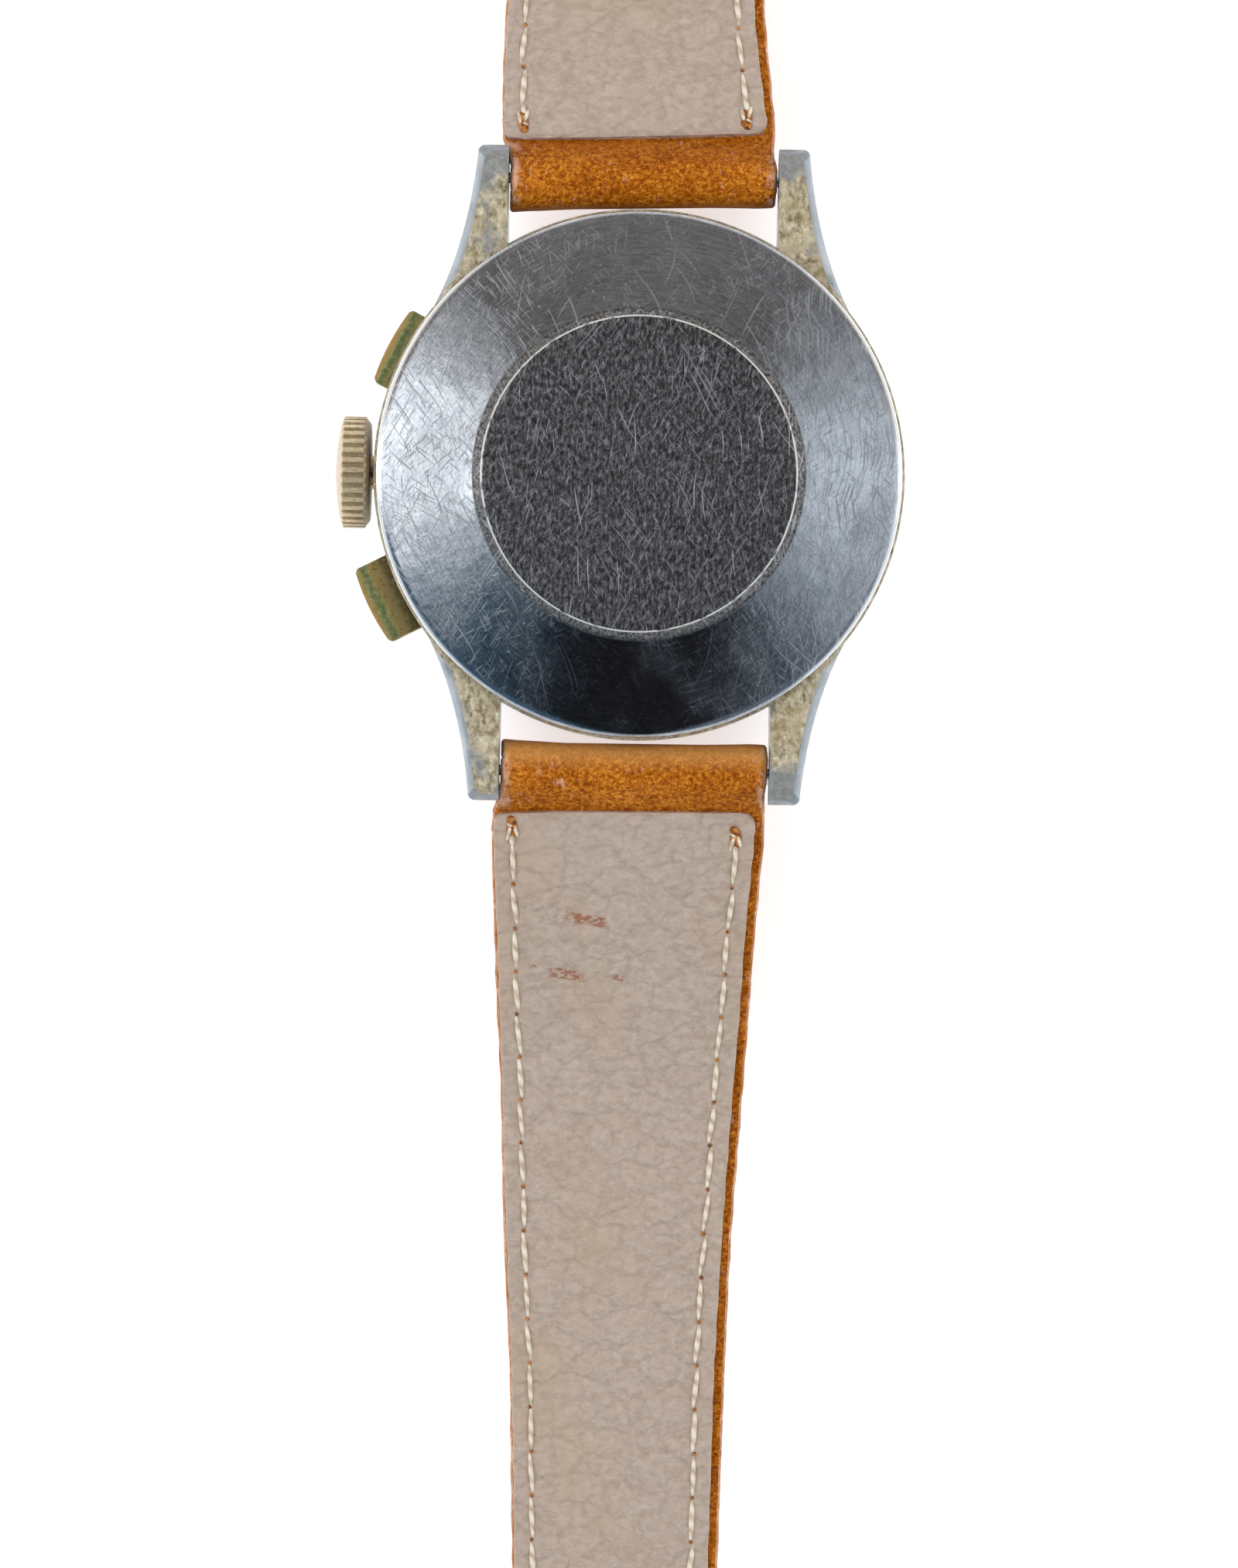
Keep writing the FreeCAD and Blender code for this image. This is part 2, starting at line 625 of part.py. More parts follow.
minute_post_x, minute_post_y = polar(motion_m * (cannon_teeth + minute_wheel_teeth) / 2, 60.0)
main_plate = one([main_plate, cyl(0.25, dial_back + 0.02, plate_bottom, minute_post_x, minute_post_y)])

# screw positions: x, y, level the head sits on, shank length
screw_head_r = 0.62
screw_head_h = 0.3
screw_shank_r = 0.32
screws = []
for degrees in (188.0, 242.0, 272.0):
    screws.append(polar(14.5, degrees) + (bridge_top, 1.9))
for degrees in (4.0, 40.0, 92.0, 118.0):
    screws.append(polar(14.5, degrees) + (bridge_top, 1.9))
cock_foot_x, cock_foot_y = 12.2, -7.9
screws.append((cock_foot_x, cock_foot_y, bridge_top, 1.9))
top_foot_a = (-11.7, 1.0)
top_foot_b = (0.0, 4.0)
for foot in (top_foot_a, top_foot_b):
    screws.append(foot + (top_bridge_top - screw_head_h - 0.05, 1.6))
clamp_angles = (66.0, 257.0)
screw_solids = []
screw_cuts = []
for x, y, z, length in screws:
    shank = cyl(screw_shank_r, z - length, z, x, y)
    head = cyl(screw_head_r, z, z + screw_head_h, x, y)
    slot = Part.makeBox(2.0, 0.16, 0.2, V(x - 1.0, y - 0.08, z + screw_head_h - 0.12))
    screw_solids.append(one([shank, head]).cut(slot))
    screw_cuts.append(shank)
    screw_cuts.append(cyl(screw_head_r, z, z + screw_head_h + 1.0, x, y))
clamps = []
clamp_top = rim_top + 0.35
for degrees in clamp_angles:
    cx, cy = polar(14.5, degrees)
    arm = radial(Part.makeBox(2.3, 2.2, 0.35, V(13.8, -1.1, rim_top)), degrees)
    hole = cyl(screw_shank_r, rim_top - 1.3, rim_top + 1.0, cx, cy)
    clamps.append(arm.cut(hole))
    shank = cyl(screw_shank_r, rim_top - 1.3, clamp_top, cx, cy)
    screw_solids.append(one([shank, cyl(screw_head_r, clamp_top, clamp_top + screw_head_h, cx, cy)]))
    screw_cuts.append(cyl(screw_shank_r, rim_top - 1.3, rim_top, cx, cy))
save("movement_clamps", Part.makeCompound(clamps))
save("movement_screws", Part.makeCompound(screw_solids))
main_plate = main_plate.cut(screw_cuts)
save("main_plate", main_plate)

# ---------------------------------------------------------------- bridges
bridge_disc = cyl(plate_r, rim_top, bridge_top)
balance_clear = cyl(balance_r + 0.75, -9.0, 0.0, balance_x, balance_y)
cock_clear = Part.makeBox(6.0, 4.4, 9.0, V(cock_foot_x - 1.9, cock_foot_y - 2.2, -9.0))
clamp_clear = []
for degrees in clamp_angles:
    clamp_clear.append(radial(Part.makeBox(2.2, 2.8, 6.0, V(13.6, -1.4, -6.0)), degrees))
bridge_cuts = clamp_clear + notch_cuts + screw_cuts + [balance_clear, cock_clear]

barrel_plan = prism([(-16, 2.6), (-2.0, 2.6), (-2.0, -1.6), (1.6, -3.6), (1.6, -16), (-16, -16)], -4.0, 0.0)
barrel_bridge = bridge_disc.common(barrel_plan).cut(bridge_cuts + [
    cyl(0.55 + pivot_gap, -9.0, 0.0, barrel_x, barrel_y), cyl(0.3, -9.0, 0.0, counter_x, counter_y)])
barrel_bridge = one([barrel_bridge, cyl(0.8, -4.2, rim_top, crown_wheel_x, 0.0),
                     cyl(0.45, -4.2, rim_top, inter_x, inter_y),
                     cyl(0.4, bridge_top, lever_top + 0.2, lever_pivot_b[0], lever_pivot_b[1])])
save("barrel_bridge", barrel_bridge)

gap = bridge_split
train_plan = prism([(-16, 2.6 + gap), (-2.0 + gap, 2.6 + gap), (-2.0 + gap, -1.6 + gap), (1.9, -3.4), (1.9, -4.6),
                    (16, -4.6), (16, 16), (-16, 16)], -4.0, 0.0)
train_bridge = bridge_disc.common(train_plan).cut(bridge_cuts + [
    cyl(0.5 + pivot_gap, -9.0, 0.0), cyl(0.2 + pivot_gap, -9.0, 0.0, third_x, third_y),
    cyl(0.25 + pivot_gap, -9.0, 0.0, fourth_x, fourth_y), cyl(0.15 + pivot_gap, -9.0, 0.0, escape_x, escape_y)])
train_bridge = one([train_bridge, cyl(0.45, bridge_top, chrono_level + 0.3, column_x, column_y),
                    cyl(0.4, bridge_top, lever_top + 0.2, lever_pivot_a[0], lever_pivot_a[1])])
save("train_bridge", train_bridge)

pallet_post_x, pallet_post_y = pallet_x + 3.4, pallet_y - 1.4
pallet_bridge = one([bar_between(pallet_x, pallet_y, pallet_post_x, pallet_post_y, 1.3, -4.85, -4.55),
                     cyl(0.65, plate_top, -4.85, pallet_post_x, pallet_post_y)])
pallet_bridge = pallet_bridge.cut(cyl(0.12 + pivot_gap, -9.0, 0.0, pallet_x, pallet_y))
save("pallet_bridge", pallet_bridge)

cock_arm = bar_between(balance_x, balance_y, cock_foot_x, cock_foot_y, 2.8, rim_top + 0.25, bridge_top)
cock_foot = cyl(1.4, rim_top, bridge_top, cock_foot_x, cock_foot_y)
cock_stud = cyl(0.2, -3.8, rim_top + 0.3, balance_x + 2.98, balance_y)
balance_cock = one([cock_arm, cock_foot, cock_stud]).cut([cyl(0.15 + pivot_gap, -9.0, 0.0, balance_x, balance_y)]
                                                         + screw_cuts)
balance_cock = balance_cock.common(cyl(plate_r, -9.0, 0.0))
save("balance_cock", balance_cock)

top_arms = [bar_between(0.0, 0.0, counter_x, counter_y, 1.5, top_bridge_low, top_bridge_top),
            bar_between(counter_x, counter_y, top_foot_a[0], top_foot_a[1], 1.5, top_bridge_low, top_bridge_top),
            bar_between(0.0, 0.0, top_foot_b[0], top_foot_b[1], 1.5, top_bridge_low, top_bridge_top),
            cyl(0.75, bridge_top, top_bridge_low, top_foot_a[0], top_foot_a[1]),
            cyl(0.75, bridge_top, top_bridge_low, top_foot_b[0], top_foot_b[1])]
chronograph_bridge = one(top_arms).cut(screw_cuts + [cyl(0.15 + pivot_gap, -9.0, 0.0),
                                                     cyl(0.15 + pivot_gap, -9.0, 0.0, counter_x, counter_y)])
save("chronograph_bridge", chronograph_bridge)

# ---------------------------------------------------------------- winding train
pinion_x0 = -12.85
pinion_len = 0.75
winding_pinion = gear(winding_pinion_teeth, winding_m, 0.0, pinion_len)
winding_pinion = winding_pinion.cut(cyl(stem_r + stem_bore_gap, -1.0, 2.0))
winding_pinion.rotate(V(0, 0, 0), V(0, 1, 0), 90)
winding_pinion.rotate(V(0, 0, 0), V(1, 0, 0), 180.0 / winding_pinion_teeth)
winding_pinion.translate(V(pinion_x0, 0, stem_z))
save("winding_pinion", winding_pinion)

wind_low = -4.1
wind_top = -3.55
crown_phase = 180.0 + 180.0 / crown_wheel_teeth
crown_wheel = gear(crown_wheel_teeth, winding_m, wind_low, wind_top, crown_wheel_x, 0.0, crown_phase)
crown_wheel = crown_wheel.cut(cyl(0.8 + pivot_gap, -9.0, 0.0, crown_wheel_x, 0.0))
save("crown_wheel", crown_wheel)
inter_phase = meshed(crown_phase, crown_wheel_teeth, intermediate_teeth, to_ratchet)
intermediate_wheel = gear(intermediate_teeth, winding_m, wind_low, wind_top, inter_x, inter_y, inter_phase)
intermediate_wheel = intermediate_wheel.cut(cyl(0.45 + pivot_gap, -9.0, 0.0, inter_x, inter_y))
save("intermediate_wheel", intermediate_wheel)
inter_to_ratchet = math.degrees(math.atan2(barrel_y - inter_y, barrel_x - inter_x))
ratchet_phase = meshed(inter_phase, intermediate_teeth, ratchet_teeth, inter_to_ratchet)
ratchet_wheel = gear(ratchet_teeth, winding_m, wind_low, wind_top, barrel_x, barrel_y, ratchet_phase)
ratchet_wheel = ratchet_wheel.cut(cyl(0.8, -9.0, 0.0, barrel_x, barrel_y))
save("ratchet_wheel", ratchet_wheel)

# ---------------------------------------------------------------- barrel, arbor and mainspring
barrel_low = -6.9
barrel_top = -4.65
barrel_wall_r = 4.85
barrel_arbor = one([cyl(0.8, plate_bottom + 0.05, wind_top, barrel_x, barrel_y),
                    cyl(1.25, barrel_low + 0.4, barrel_top - 0.4, barrel_x, barrel_y),
                    cyl(0.55, wind_top, bridge_top - 0.05, barrel_x, barrel_y)])
save("barrel_arbor", barrel_arbor)
center_phase = 0.0
barrel_dir = barrel_angle
barrel_phase = meshed(center_phase, center_pinion_teeth, barrel_teeth, barrel_dir)
barrel = one([cyl(barrel_wall_r, barrel_low, barrel_top, barrel_x, barrel_y),
              gear(barrel_teeth, barrel_m, -5.8, -5.4, barrel_x, barrel_y, barrel_phase)])
barrel = barrel.cut([cyl(barrel_wall_r - 0.3, barrel_low + 0.3, barrel_top - 0.3, barrel_x, barrel_y),
                     cyl(0.8 + pivot_gap, -9.0, 0.0, barrel_x, barrel_y)])
save("barrel", barrel)
mainspring = spiral(1.36, 0.5, 6, 0.2, barrel_low + 0.5, barrel_top - 0.5, barrel_x, barrel_y)
save("mainspring", mainspring)

# ---------------------------------------------------------------- going train
center_wheel = windows(gear(center_teeth, train_m1, -4.5, -4.25, 0, 0, center_phase), 5, 2.1, 0.8, -4.5, -4.25)
center_wheel = one([center_wheel, gear(center_pinion_teeth, barrel_m, -5.85, -5.35, 0, 0, center_phase),
                    cyl(0.5, -9.3, rim_top + 0.4)])
center_wheel = center_wheel.cut(cyl(0.32, -10.0, 0.0))
save("center_wheel", center_wheel)

third_phase = meshed(center_phase, center_teeth, third_pinion_teeth, third_angle)
third_wheel = windows(gear(third_teeth, train_m2, -5.2, -4.95, third_x, third_y, third_phase), 5, 1.8, 0.72,
                      -5.2, -4.95, third_x, third_y)
third_wheel = one([third_wheel, gear(third_pinion_teeth, train_m1, -4.6, -4.15, third_x, third_y, third_phase),
                   cyl(0.25, plate_bottom + 0.2, -3.6, third_x, third_y), cyl(0.2, -3.6, -2.9, third_x, third_y)])
save("third_wheel", third_wheel)

third_to_fourth = math.degrees(math.atan2(fourth_y - third_y, fourth_x - third_x))
fourth_phase = meshed(third_phase, third_teeth, fourth_pinion_teeth, third_to_fourth)
driving_low = chrono_level
fourth_wheel = windows(gear(fourth_teeth, train_m3, -5.75, -5.5, fourth_x, fourth_y, fourth_phase), 5, 1.75, 0.7,
                       -5.75, -5.5, fourth_x, fourth_y)
fourth_wheel = one([fourth_wheel, gear(fourth_pinion_teeth, train_m2, -5.3, -4.85, fourth_x, fourth_y, fourth_phase),
                    cyl(0.25, -9.2, chrono_level + 0.3, fourth_x, fourth_y),
                    gear(runner_teeth, chrono_m, driving_low, driving_low + chrono_wheel_t, fourth_x, fourth_y,
                         fourth_phase)])
save("fourth_wheel", fourth_wheel)


def escape_plan():
    """Fifteen raked teeth as a single outline."""
    pts = []
    for i in range(escape_teeth):
        a = 360.0 * i / escape_teeth
        pts.append(polar(escape_r - 0.55, a, escape_x, escape_y))
        pts.append(polar(escape_r - 0.05, a + 3.0, escape_x, escape_y))
        pts.append(polar(escape_r, a + 6.5, escape_x, escape_y))
        pts.append(polar(escape_r - 0.5, a + 10.5, escape_x, escape_y))
    return pts


escape_phase = meshed(fourth_phase, fourth_teeth, escape_pinion_teeth, escape_angle)
escape_wheel = windows(prism(escape_plan(), -5.25, -5.05), 4, 0.9, 0.36, -5.25, -5.05, escape_x, escape_y)
escape_wheel = one([escape_wheel, gear(escape_pinion_teeth, train_m3, -5.85, -5.4, escape_x, escape_y, escape_phase),
                    cyl(0.2, plate_bottom + 0.4, -3.6, escape_x, escape_y),
                    cyl(0.15, -3.6, -2.9, escape_x, escape_y)])
save("escape_wheel", escape_wheel)

# ---------------------------------------------------------------- pallet fork, balance and hairspring
fork_low = -5.25
fork_top = -5.05
fork_dir = math.degrees(math.atan2(balance_y - pallet_y, balance_x - pallet_x))
fork_len = math.hypot(balance_x - pallet_x, balance_y - pallet_y) - 0.85
fork_end = polar(fork_len, fork_dir, pallet_x, pallet_y)
arm_pieces = [bar_between(pallet_x, pallet_y, fork_end[0], fork_end[1], 0.34, fork_low, fork_top),
              cyl(0.32, fork_low, fork_top, pallet_x, pallet_y),
              cyl(0.2, plate_bottom + 0.5, -4.9, pallet_x, pallet_y),
              cyl(0.12, -4.95, -4.6, pallet_x, pallet_y)]
for side in (-1, 1):
    stone = polar(escape_r + 0.3, pallet_dir + side * 36.0, escape_x, escape_y)
    arm_pieces.append(bar_between(pallet_x, pallet_y, stone[0], stone[1], 0.3, fork_low, fork_top))
    horn = polar(fork_len + 0.2, fork_dir + side * 4.2, pallet_x, pallet_y)
    arm_pieces.append(bar_between(fork_end[0], fork_end[1], horn[0], horn[1], 0.16, fork_low, fork_top))
pallet_fork = one(arm_pieces)
save("pallet_fork", pallet_fork)

balance_low = -4.4
balance_top = -3.9
pin_dir = fork_dir + 180.0
pin = polar(0.42, pin_dir, balance_x, balance_y)
balance_wheel = one([tube(balance_r, balance_r - 0.55, balance_low, balance_top, balance_x, balance_y),
                     bar_between(balance_x - balance_r + 0.4, balance_y, balance_x + balance_r - 0.4, balance_y, 0.6,
                                 balance_low, balance_low + 0.25),
                     cyl(0.25, plate_bottom + 0.4, -3.5, balance_x, balance_y),
                     cyl(0.15, -3.5, -2.9, balance_x, balance_y),
                     cyl(0.55, -4.95, -4.8, balance_x, balance_y),
                     cyl(0.08, -5.2, -4.9, pin[0], pin[1]),
                     cyl(0.45, -3.85, -3.6, balance_x, balance_y)])
save("balance_wheel", balance_wheel)
hairspring = spiral(0.5, 0.28, 8, 0.06, -3.8, -3.65, balance_x, balance_y)
save("hairspring", hairspring)

# ---------------------------------------------------------------- motion works
cannon_low = -9.95
cannon_pinion = one([cyl(0.78, cannon_low, -7.8), gear(cannon_teeth, motion_m, -7.8, -7.5)]).cut(cyl(0.5, -12.0, 0.0))
save("cannon_pinion", cannon_pinion)
minute_phase = meshed(0.0, cannon_teeth, minute_wheel_teeth, 60.0)
hour_m = motion_m * (cannon_teeth + minute_wheel_teeth) / (minute_pinion_teeth + hour_teeth)
minute_wheel = one([gear(minute_wheel_teeth, motion_m, -7.75, -7.55, minute_post_x, minute_post_y, minute_phase),
                    gear(minute_pinion_teeth, hour_m, -8.06, -7.75, minute_post_x, minute_post_y, 0.0)])
minute_wheel = minute_wheel.cut(cyl(0.25 + pivot_gap, -9.0, 0.0, minute_post_x, minute_post_y))
save("minute_wheel", minute_wheel)
hour_phase = meshed(0.0, minute_pinion_teeth, hour_teeth, 240.0)
hour_wheel = one([gear(hour_teeth, hour_m, -8.05, -7.85, 0, 0, hour_phase), cyl(1.05, -9.35, -7.85)])
hour_wheel = hour_wheel.cut(cyl(0.78 + pivot_gap, -12.0, 0.0))
save("hour_wheel", hour_wheel)

# ---------------------------------------------------------------- dial and hands
dial = cyl(dial_r, dial_front, dial_back)
dial_cuts = [cyl(1.15, -9.0, -8.0), cyl(0.32, -9.0, -8.0, fourth_x, 0.0), cyl(0.32, -9.0, -8.0, counter_x, 0.0)]
for sx in (-1, 1):
    dial_cuts.append(cyl(register_r, dial_front - 0.5, dial_front + register_depth, sx * register_x, 0.0))
dial = dial.cut(dial_cuts)
save("dial", dial)


def hand(length, tail, w_root, w_tip, hub_r, bore_r, z, x, y, degrees, thick=0.15):
    """Tapered hand with a round hub, pointing at an angle in plan."""
    blade = prism([(-tail, -w_tip / 2), (0, -w_root / 2), (length, -w_tip / 2), (length, w_tip / 2),
                   (0, w_root / 2), (-tail, w_tip / 2)], z - thick, z)
    shape = one([blade, cyl(hub_r, z - thick, z)]).cut(cyl(bore_r, z - 1.0, z + 1.0))
    shape.rotate(V(0, 0, 0), V(0, 0, 1), degrees)
    shape.translate(V(x, y, 0))
    return shape


# Seen from the back the hours run anticlockwise from +Y.
hour_deg = 90.0 + 10.0 * 30.0 + 4.0
minute_deg = 90.0 + 48.0
save("hour_hand", hand(8.4, 1.2, 1.3, 0.35, 1.45, 1.05, -9.15, 0, 0, hour_deg))
save("minute_hand", hand(12.6, 1.2, 1.0, 0.3, 1.2, 0.78, -9.7, 0, 0, minute_deg))
save("running_seconds_hand", hand(3.3, 0.9, 0.35, 0.14, 0.45, 0.25, -8.85, fourth_x, fourth_y, 200.0))
save("chronograph_hand", hand(13.2, 3.6, 0.4, 0.16, 0.6, 0.22, -10.2, 0, 0, 90.0))
save("minute_counter_hand", hand(3.3, 0.9, 0.35, 0.14, 0.45, 0.25, -8.85, counter_x, counter_y, 90.0))

# ---------------------------------------------------------------- chronograph works


def heart(x, y, z0, z1):
    """Heart-shaped reset cam on its arbor."""
    pts = []
    for i in range(-8, 9):
        a = i * 180.0 / 8.0
        r = 0.42 + 0.42 * abs(a) / 180.0
        if abs(a) < 175.0:
            pts.append(polar(r, a, x, y))
    pts.append((x - 0.72, y))
    return prism(pts, z0, z1)


runner_phase = 0.0
chronograph_runner = windows(gear(runner_teeth, chrono_m, chrono_level, chrono_level + chrono_wheel_t), 4, 1.25, 0.5,
                             chrono_level, chrono_level + chrono_wheel_t)
finger = prism([(-2.5, -0.12), (-1.6, -0.12), (-1.6, 0.12), (-2.5, 0.12)], -2.12, chrono_level)
chronograph_runner = one([chronograph_runner, heart(0, 0, -2.62, -2.3), cyl(0.3, -3.0, chrono_level),
                          cyl(0.26, -9.6, -3.0), cyl(0.22, -10.4, -9.6), cyl(0.15, chrono_level, -1.4), finger])
save("chronograph_runner", chronograph_runner)
counter_m = 0.132
minute_counter_wheel = windows(gear(counter_teeth, counter_m, -2.12, -2.0, counter_x, counter_y, 3.0), 5, 2.4, 0.75,
                               -2.12, -2.0, counter_x, counter_y)
minute_counter_wheel = one([minute_counter_wheel, heart(counter_x, counter_y, -2.62, -2.3),
                            cyl(0.25, -9.2, -2.0, counter_x, counter_y),
                            cyl(0.15, -2.0, -1.4, counter_x, counter_y)])
save("minute_counter_wheel", minute_counter_wheel)

coupling_r = chrono_m * (runner_teeth + coupling_teeth) / 2
coupling_dir = 180.0 - 16.0
coupling_x, coupling_y = polar(coupling_r, coupling_dir, fourth_x, fourth_y)
coupling_phase = meshed(fourth_phase, runner_teeth, coupling_teeth, coupling_dir)
coupling_wheel = gear(coupling_teeth, chrono_m, chrono_level, chrono_level + chrono_wheel_t, coupling_x, coupling_y,
                      coupling_phase).cut(cyl(0.25 + pivot_gap, -9.0, 0.0, coupling_x, coupling_y))
save("coupling_wheel", coupling_wheel)
coupling_tail = polar(5.6, coupling_dir - 62.0, fourth_x, fourth_y)
coupling_lever = one([bar_between(fourth_x, fourth_y, coupling_x, coupling_y, 1.1, lever_low, lever_top),
                      bar_between(fourth_x, fourth_y, coupling_tail[0], coupling_tail[1], 0.9, lever_low, lever_top),
                      cyl(0.25, lever_low, chrono_level + 0.35, coupling_x, coupling_y)])
coupling_lever = coupling_lever.cut(cyl(0.25 + pivot_gap, -9.0, 0.0, fourth_x, fourth_y))
save("coupling_lever", coupling_lever)

column_teeth = 12
column_wheel = prism([polar(1.5 if k % 2 == 0 else 1.2, k * 180.0 / column_teeth, column_x, column_y)
                      for k in range(2 * column_teeth)], lever_low, lever_top)
columns = []
for k in range(6):
    px, py = polar(0.95, 60.0 * k + 15.0, column_x, column_y)
    columns.append(cyl(0.22, lever_top, -1.75, px, py))
column_wheel = one([column_wheel] + columns).cut(cyl(0.45 + pivot_gap, -9.0, 0.0, column_x, column_y))
save("column_wheel", column_wheel)


def lever(pivot, tab_r, tab_angle, arms, w=0.9):
    """Flat lever on a post with a tab that hangs in front of a pusher's stem."""
    tab = polar(tab_r, tab_angle)
    pieces = [bar_between(pivot[0], pivot[1], tab[0], tab[1], w, lever_low, lever_top),
              cyl(0.8, lever_low, lever_top, pivot[0], pivot[1])]
    for ax, ay, bx, by in arms:
        pieces.append(bar_between(ax, ay, bx, by, w * 0.85, lever_low, lever_top))
    pieces.append(radial(Part.makeBox(0.5, 1.5, lever_top - pusher_z + 0.7,
                                      V(tab_r - 0.25, -0.75, pusher_z - 0.7)), tab_angle))
    shape = one(pieces)
    return shape.cut(cyl(0.4 + pivot_gap, -9.0, 0.0, pivot[0], pivot[1]))


start_tab_r = pusher_stem_end_r - pusher_travel - tab_back
reset_tab_r = pusher_stem_end_r - tab_back
hook = (column_x - 1.9, column_y - 0.6)
operating_lever = lever(lever_pivot_a, start_tab_r, start_angle, [(lever_pivot_a[0], lever_pivot_a[1], hook[0],
                                                                   hook[1])])
save("operating_lever", operating_lever)
hammer_a = (-1.6, -3.6)
hammer_b = (-6.3, -3.6)
elbow = (-6.0, -6.6)
hammer_lever = lever(lever_pivot_b, reset_tab_r, reset_angle,
                     [(lever_pivot_b[0], lever_pivot_b[1], elbow[0], elbow[1]),
                      (elbow[0], elbow[1], hammer_a[0], hammer_a[1]),
                      (elbow[0], elbow[1], hammer_b[0], hammer_b[1])])
save("hammer_lever", hammer_lever)

# ---------------------------------------------------------------- strap
slope = math.radians(strap_slope)
half_t = (leather_t + lining_t) / 2
d_top = half_t
d_mid = half_t - lining_t
d_bot = -half_t


def strap_path(flat_z):
    """Length of the sloping stretch for a strap whose flat stretch is centred at flat_z."""
    drop = bar_z - flat_z
    return (drop - strap_bend_r * (1 - math.cos(slope))) / math.sin(slope)


def point_at(flat_z, s_along, d):
    """Point in the strap's side view at a distance along the sloping stretch, offset by d."""
    return V(0, bar_y + s_along * math.cos(slope) + d * math.sin(slope),
             bar_z - s_along * math.sin(slope) + d * math.cos(slope))


def band(flat_z, s0, d0, d1, end_y):
    """Side profile of a layer: sloping stretch, bend, flat stretch."""
    length = strap_path(flat_z)
    c = point_at(flat_z, length, strap_bend_r)
    half = slope / 2
    start = [point_at(flat_z, s0, d0), point_at(flat_z, s0, d1)]
    lines = []
    ends = []
    for d, p in ((d0, start[0]), (d1, start[1])):
        r = strap_bend_r - d
        a = point_at(flat_z, length, d)
        m = V(0, c.y - r * math.sin(half), c.z - r * math.cos(half))
        b = V(0, c.y, c.z - r)
        e = V(0, end_y, c.z - r)
        lines += [Part.makeLine(p, a), Part.Arc(a, m, b).toShape(), Part.makeLine(b, e)]
        ends.append(e)
    lines.append(Part.makeLine(start[0], start[1]))
    lines.append(Part.makeLine(ends[0], ends[1]))
    face = Part.Face(Part.Wire(Part.__sortEdges__(lines)))
    solid = face.extrude(V(30, 0, 0))
    solid.translate(V(-15, 0, 0))
    return solid


def side_prism(points):
    """Prism across the strap from side-view corners."""
    wire = Part.makePolygon(points + [points[0]])
    solid = Part.Face(wire).extrude(V(30, 0, 0))
    solid.translate(V(-15, 0, 0))
    return solid


def outline(inset, end_y, pointed):
    """Plan outline of a strap half, narrowed by inset on each side."""
    right = [(x - inset, y) for x, y in strap_half_w if y < end_y - long_tip_r * pointed]
    tail_x = right[-1][0]
    if pointed:
        right.append((tail_x, end_y - long_tip_r))
        pts = [V(x, y, -20) for x, y in right]
        left = [V(-p.x, p.y, -20) for p in reversed(pts)]
        lines = [Part.makeLine(pts[i], pts[i + 1]) for i in range(len(pts) - 1)]
        lines.append(Part.Arc(pts[-1], V(tail_x * 0.62, end_y - long_tip_r * 0.27, -20),
                              V(0, end_y - inset, -20)).toShape())
        lines.append(Part.Arc(V(0, end_y - inset, -20), V(-tail_x * 0.62, end_y - long_tip_r * 0.27, -20),
                              left[0]).toShape())
        lines += [Part.makeLine(left[i], left[i + 1]) for i in range(len(left) - 1)]
        lines.append(Part.makeLine(left[-1], pts[0]))
        return Part.Face(Part.Wire(lines)).extrude(V(0, 0, 25))
    right.append((tail_x, end_y + 3.0))
    return prism(right + [(-x, y) for x, y in reversed(right)], -20, 5)


def rails(end_y):
    """Two narrow plan strips where the stitching runs."""
    wide = outline(stitch_inset + lining_inset - stitch_w / 2, end_y - 4.0, 0)
    narrow = outline(stitch_inset + lining_inset + stitch_w / 2, end_y + 9.0, 0)
    return wide.cut(narrow)


def strap_half(flat_z, end_y, pointed, bar_end):
    """Leather, lining and stitching of one strap half on the +Y side."""
    ring_part = rod_x(loop_r, -15, 15, bar_y, bar_z)
    fold = side_prism([point_at(flat_z, 0, loop_r), point_at(flat_z, loop_fold_len, d_top),
                       point_at(flat_z, loop_fold_len, d_mid), point_at(flat_z, 0, d_mid)])
    keel = side_prism([point_at(flat_z, 0, -loop_r), point_at(flat_z, 0, d_mid), point_at(flat_z, 5.5, d_mid),
                       point_at(flat_z, 5.5, d_bot)])
    long_layer = band(flat_z, 0.0, d_bot, d_mid, end_y)
    leather = one([long_layer, ring_part, fold, keel])
    lining = band(flat_z, loop_fold_len, d_mid, d_top, end_y)
    trims = [rod_x(bar_r + loop_bore_gap, -15, 15, bar_y, bar_z)]
    if bar_end:
        end_z = flat_z
        leather = one([leather, rod_x(half_t, -15, 15, end_y, end_z)])
        lining = lining.cut(rod_x(half_t, -15, 15, end_y, end_z))
        trims.append(rod_x(buckle_bar_r + loop_bore_gap, -15, 15, end_y, end_z))
        trims.append(Part.makeBox(tongue_slot_w, tongue_slot_len + 3.0, 30,
                                  V(-tongue_slot_w / 2, end_y - tongue_slot_len, -20)))
    else:
        for k in range(hole_count):
            trims.append(cyl(hole_r, -20, 5, 0.0, end_y - hole_from_tip - k * hole_pitch))
    plan = outline(0.0, end_y, pointed)
    leather = leather.common(plan).cut(trims)
    lining = lining.common(outline(lining_inset, end_y, pointed)).cut(trims)
    strips = rails(end_y if bar_end else end_y - 8.0)
    top_thread = band(flat_z, loop_fold_len + 1.2, d_top, d_top - stitch_t, end_y + 20).common(strips)
    low_thread = band(flat_z, 6.5, d_bot, d_bot + stitch_t, end_y + 20).common(strips)
    lining = lining.cut(top_thread)
    leather = leather.cut(low_thread)
    return leather, lining, Part.makeCompound(top_thread.Solids + low_thread.Solids)


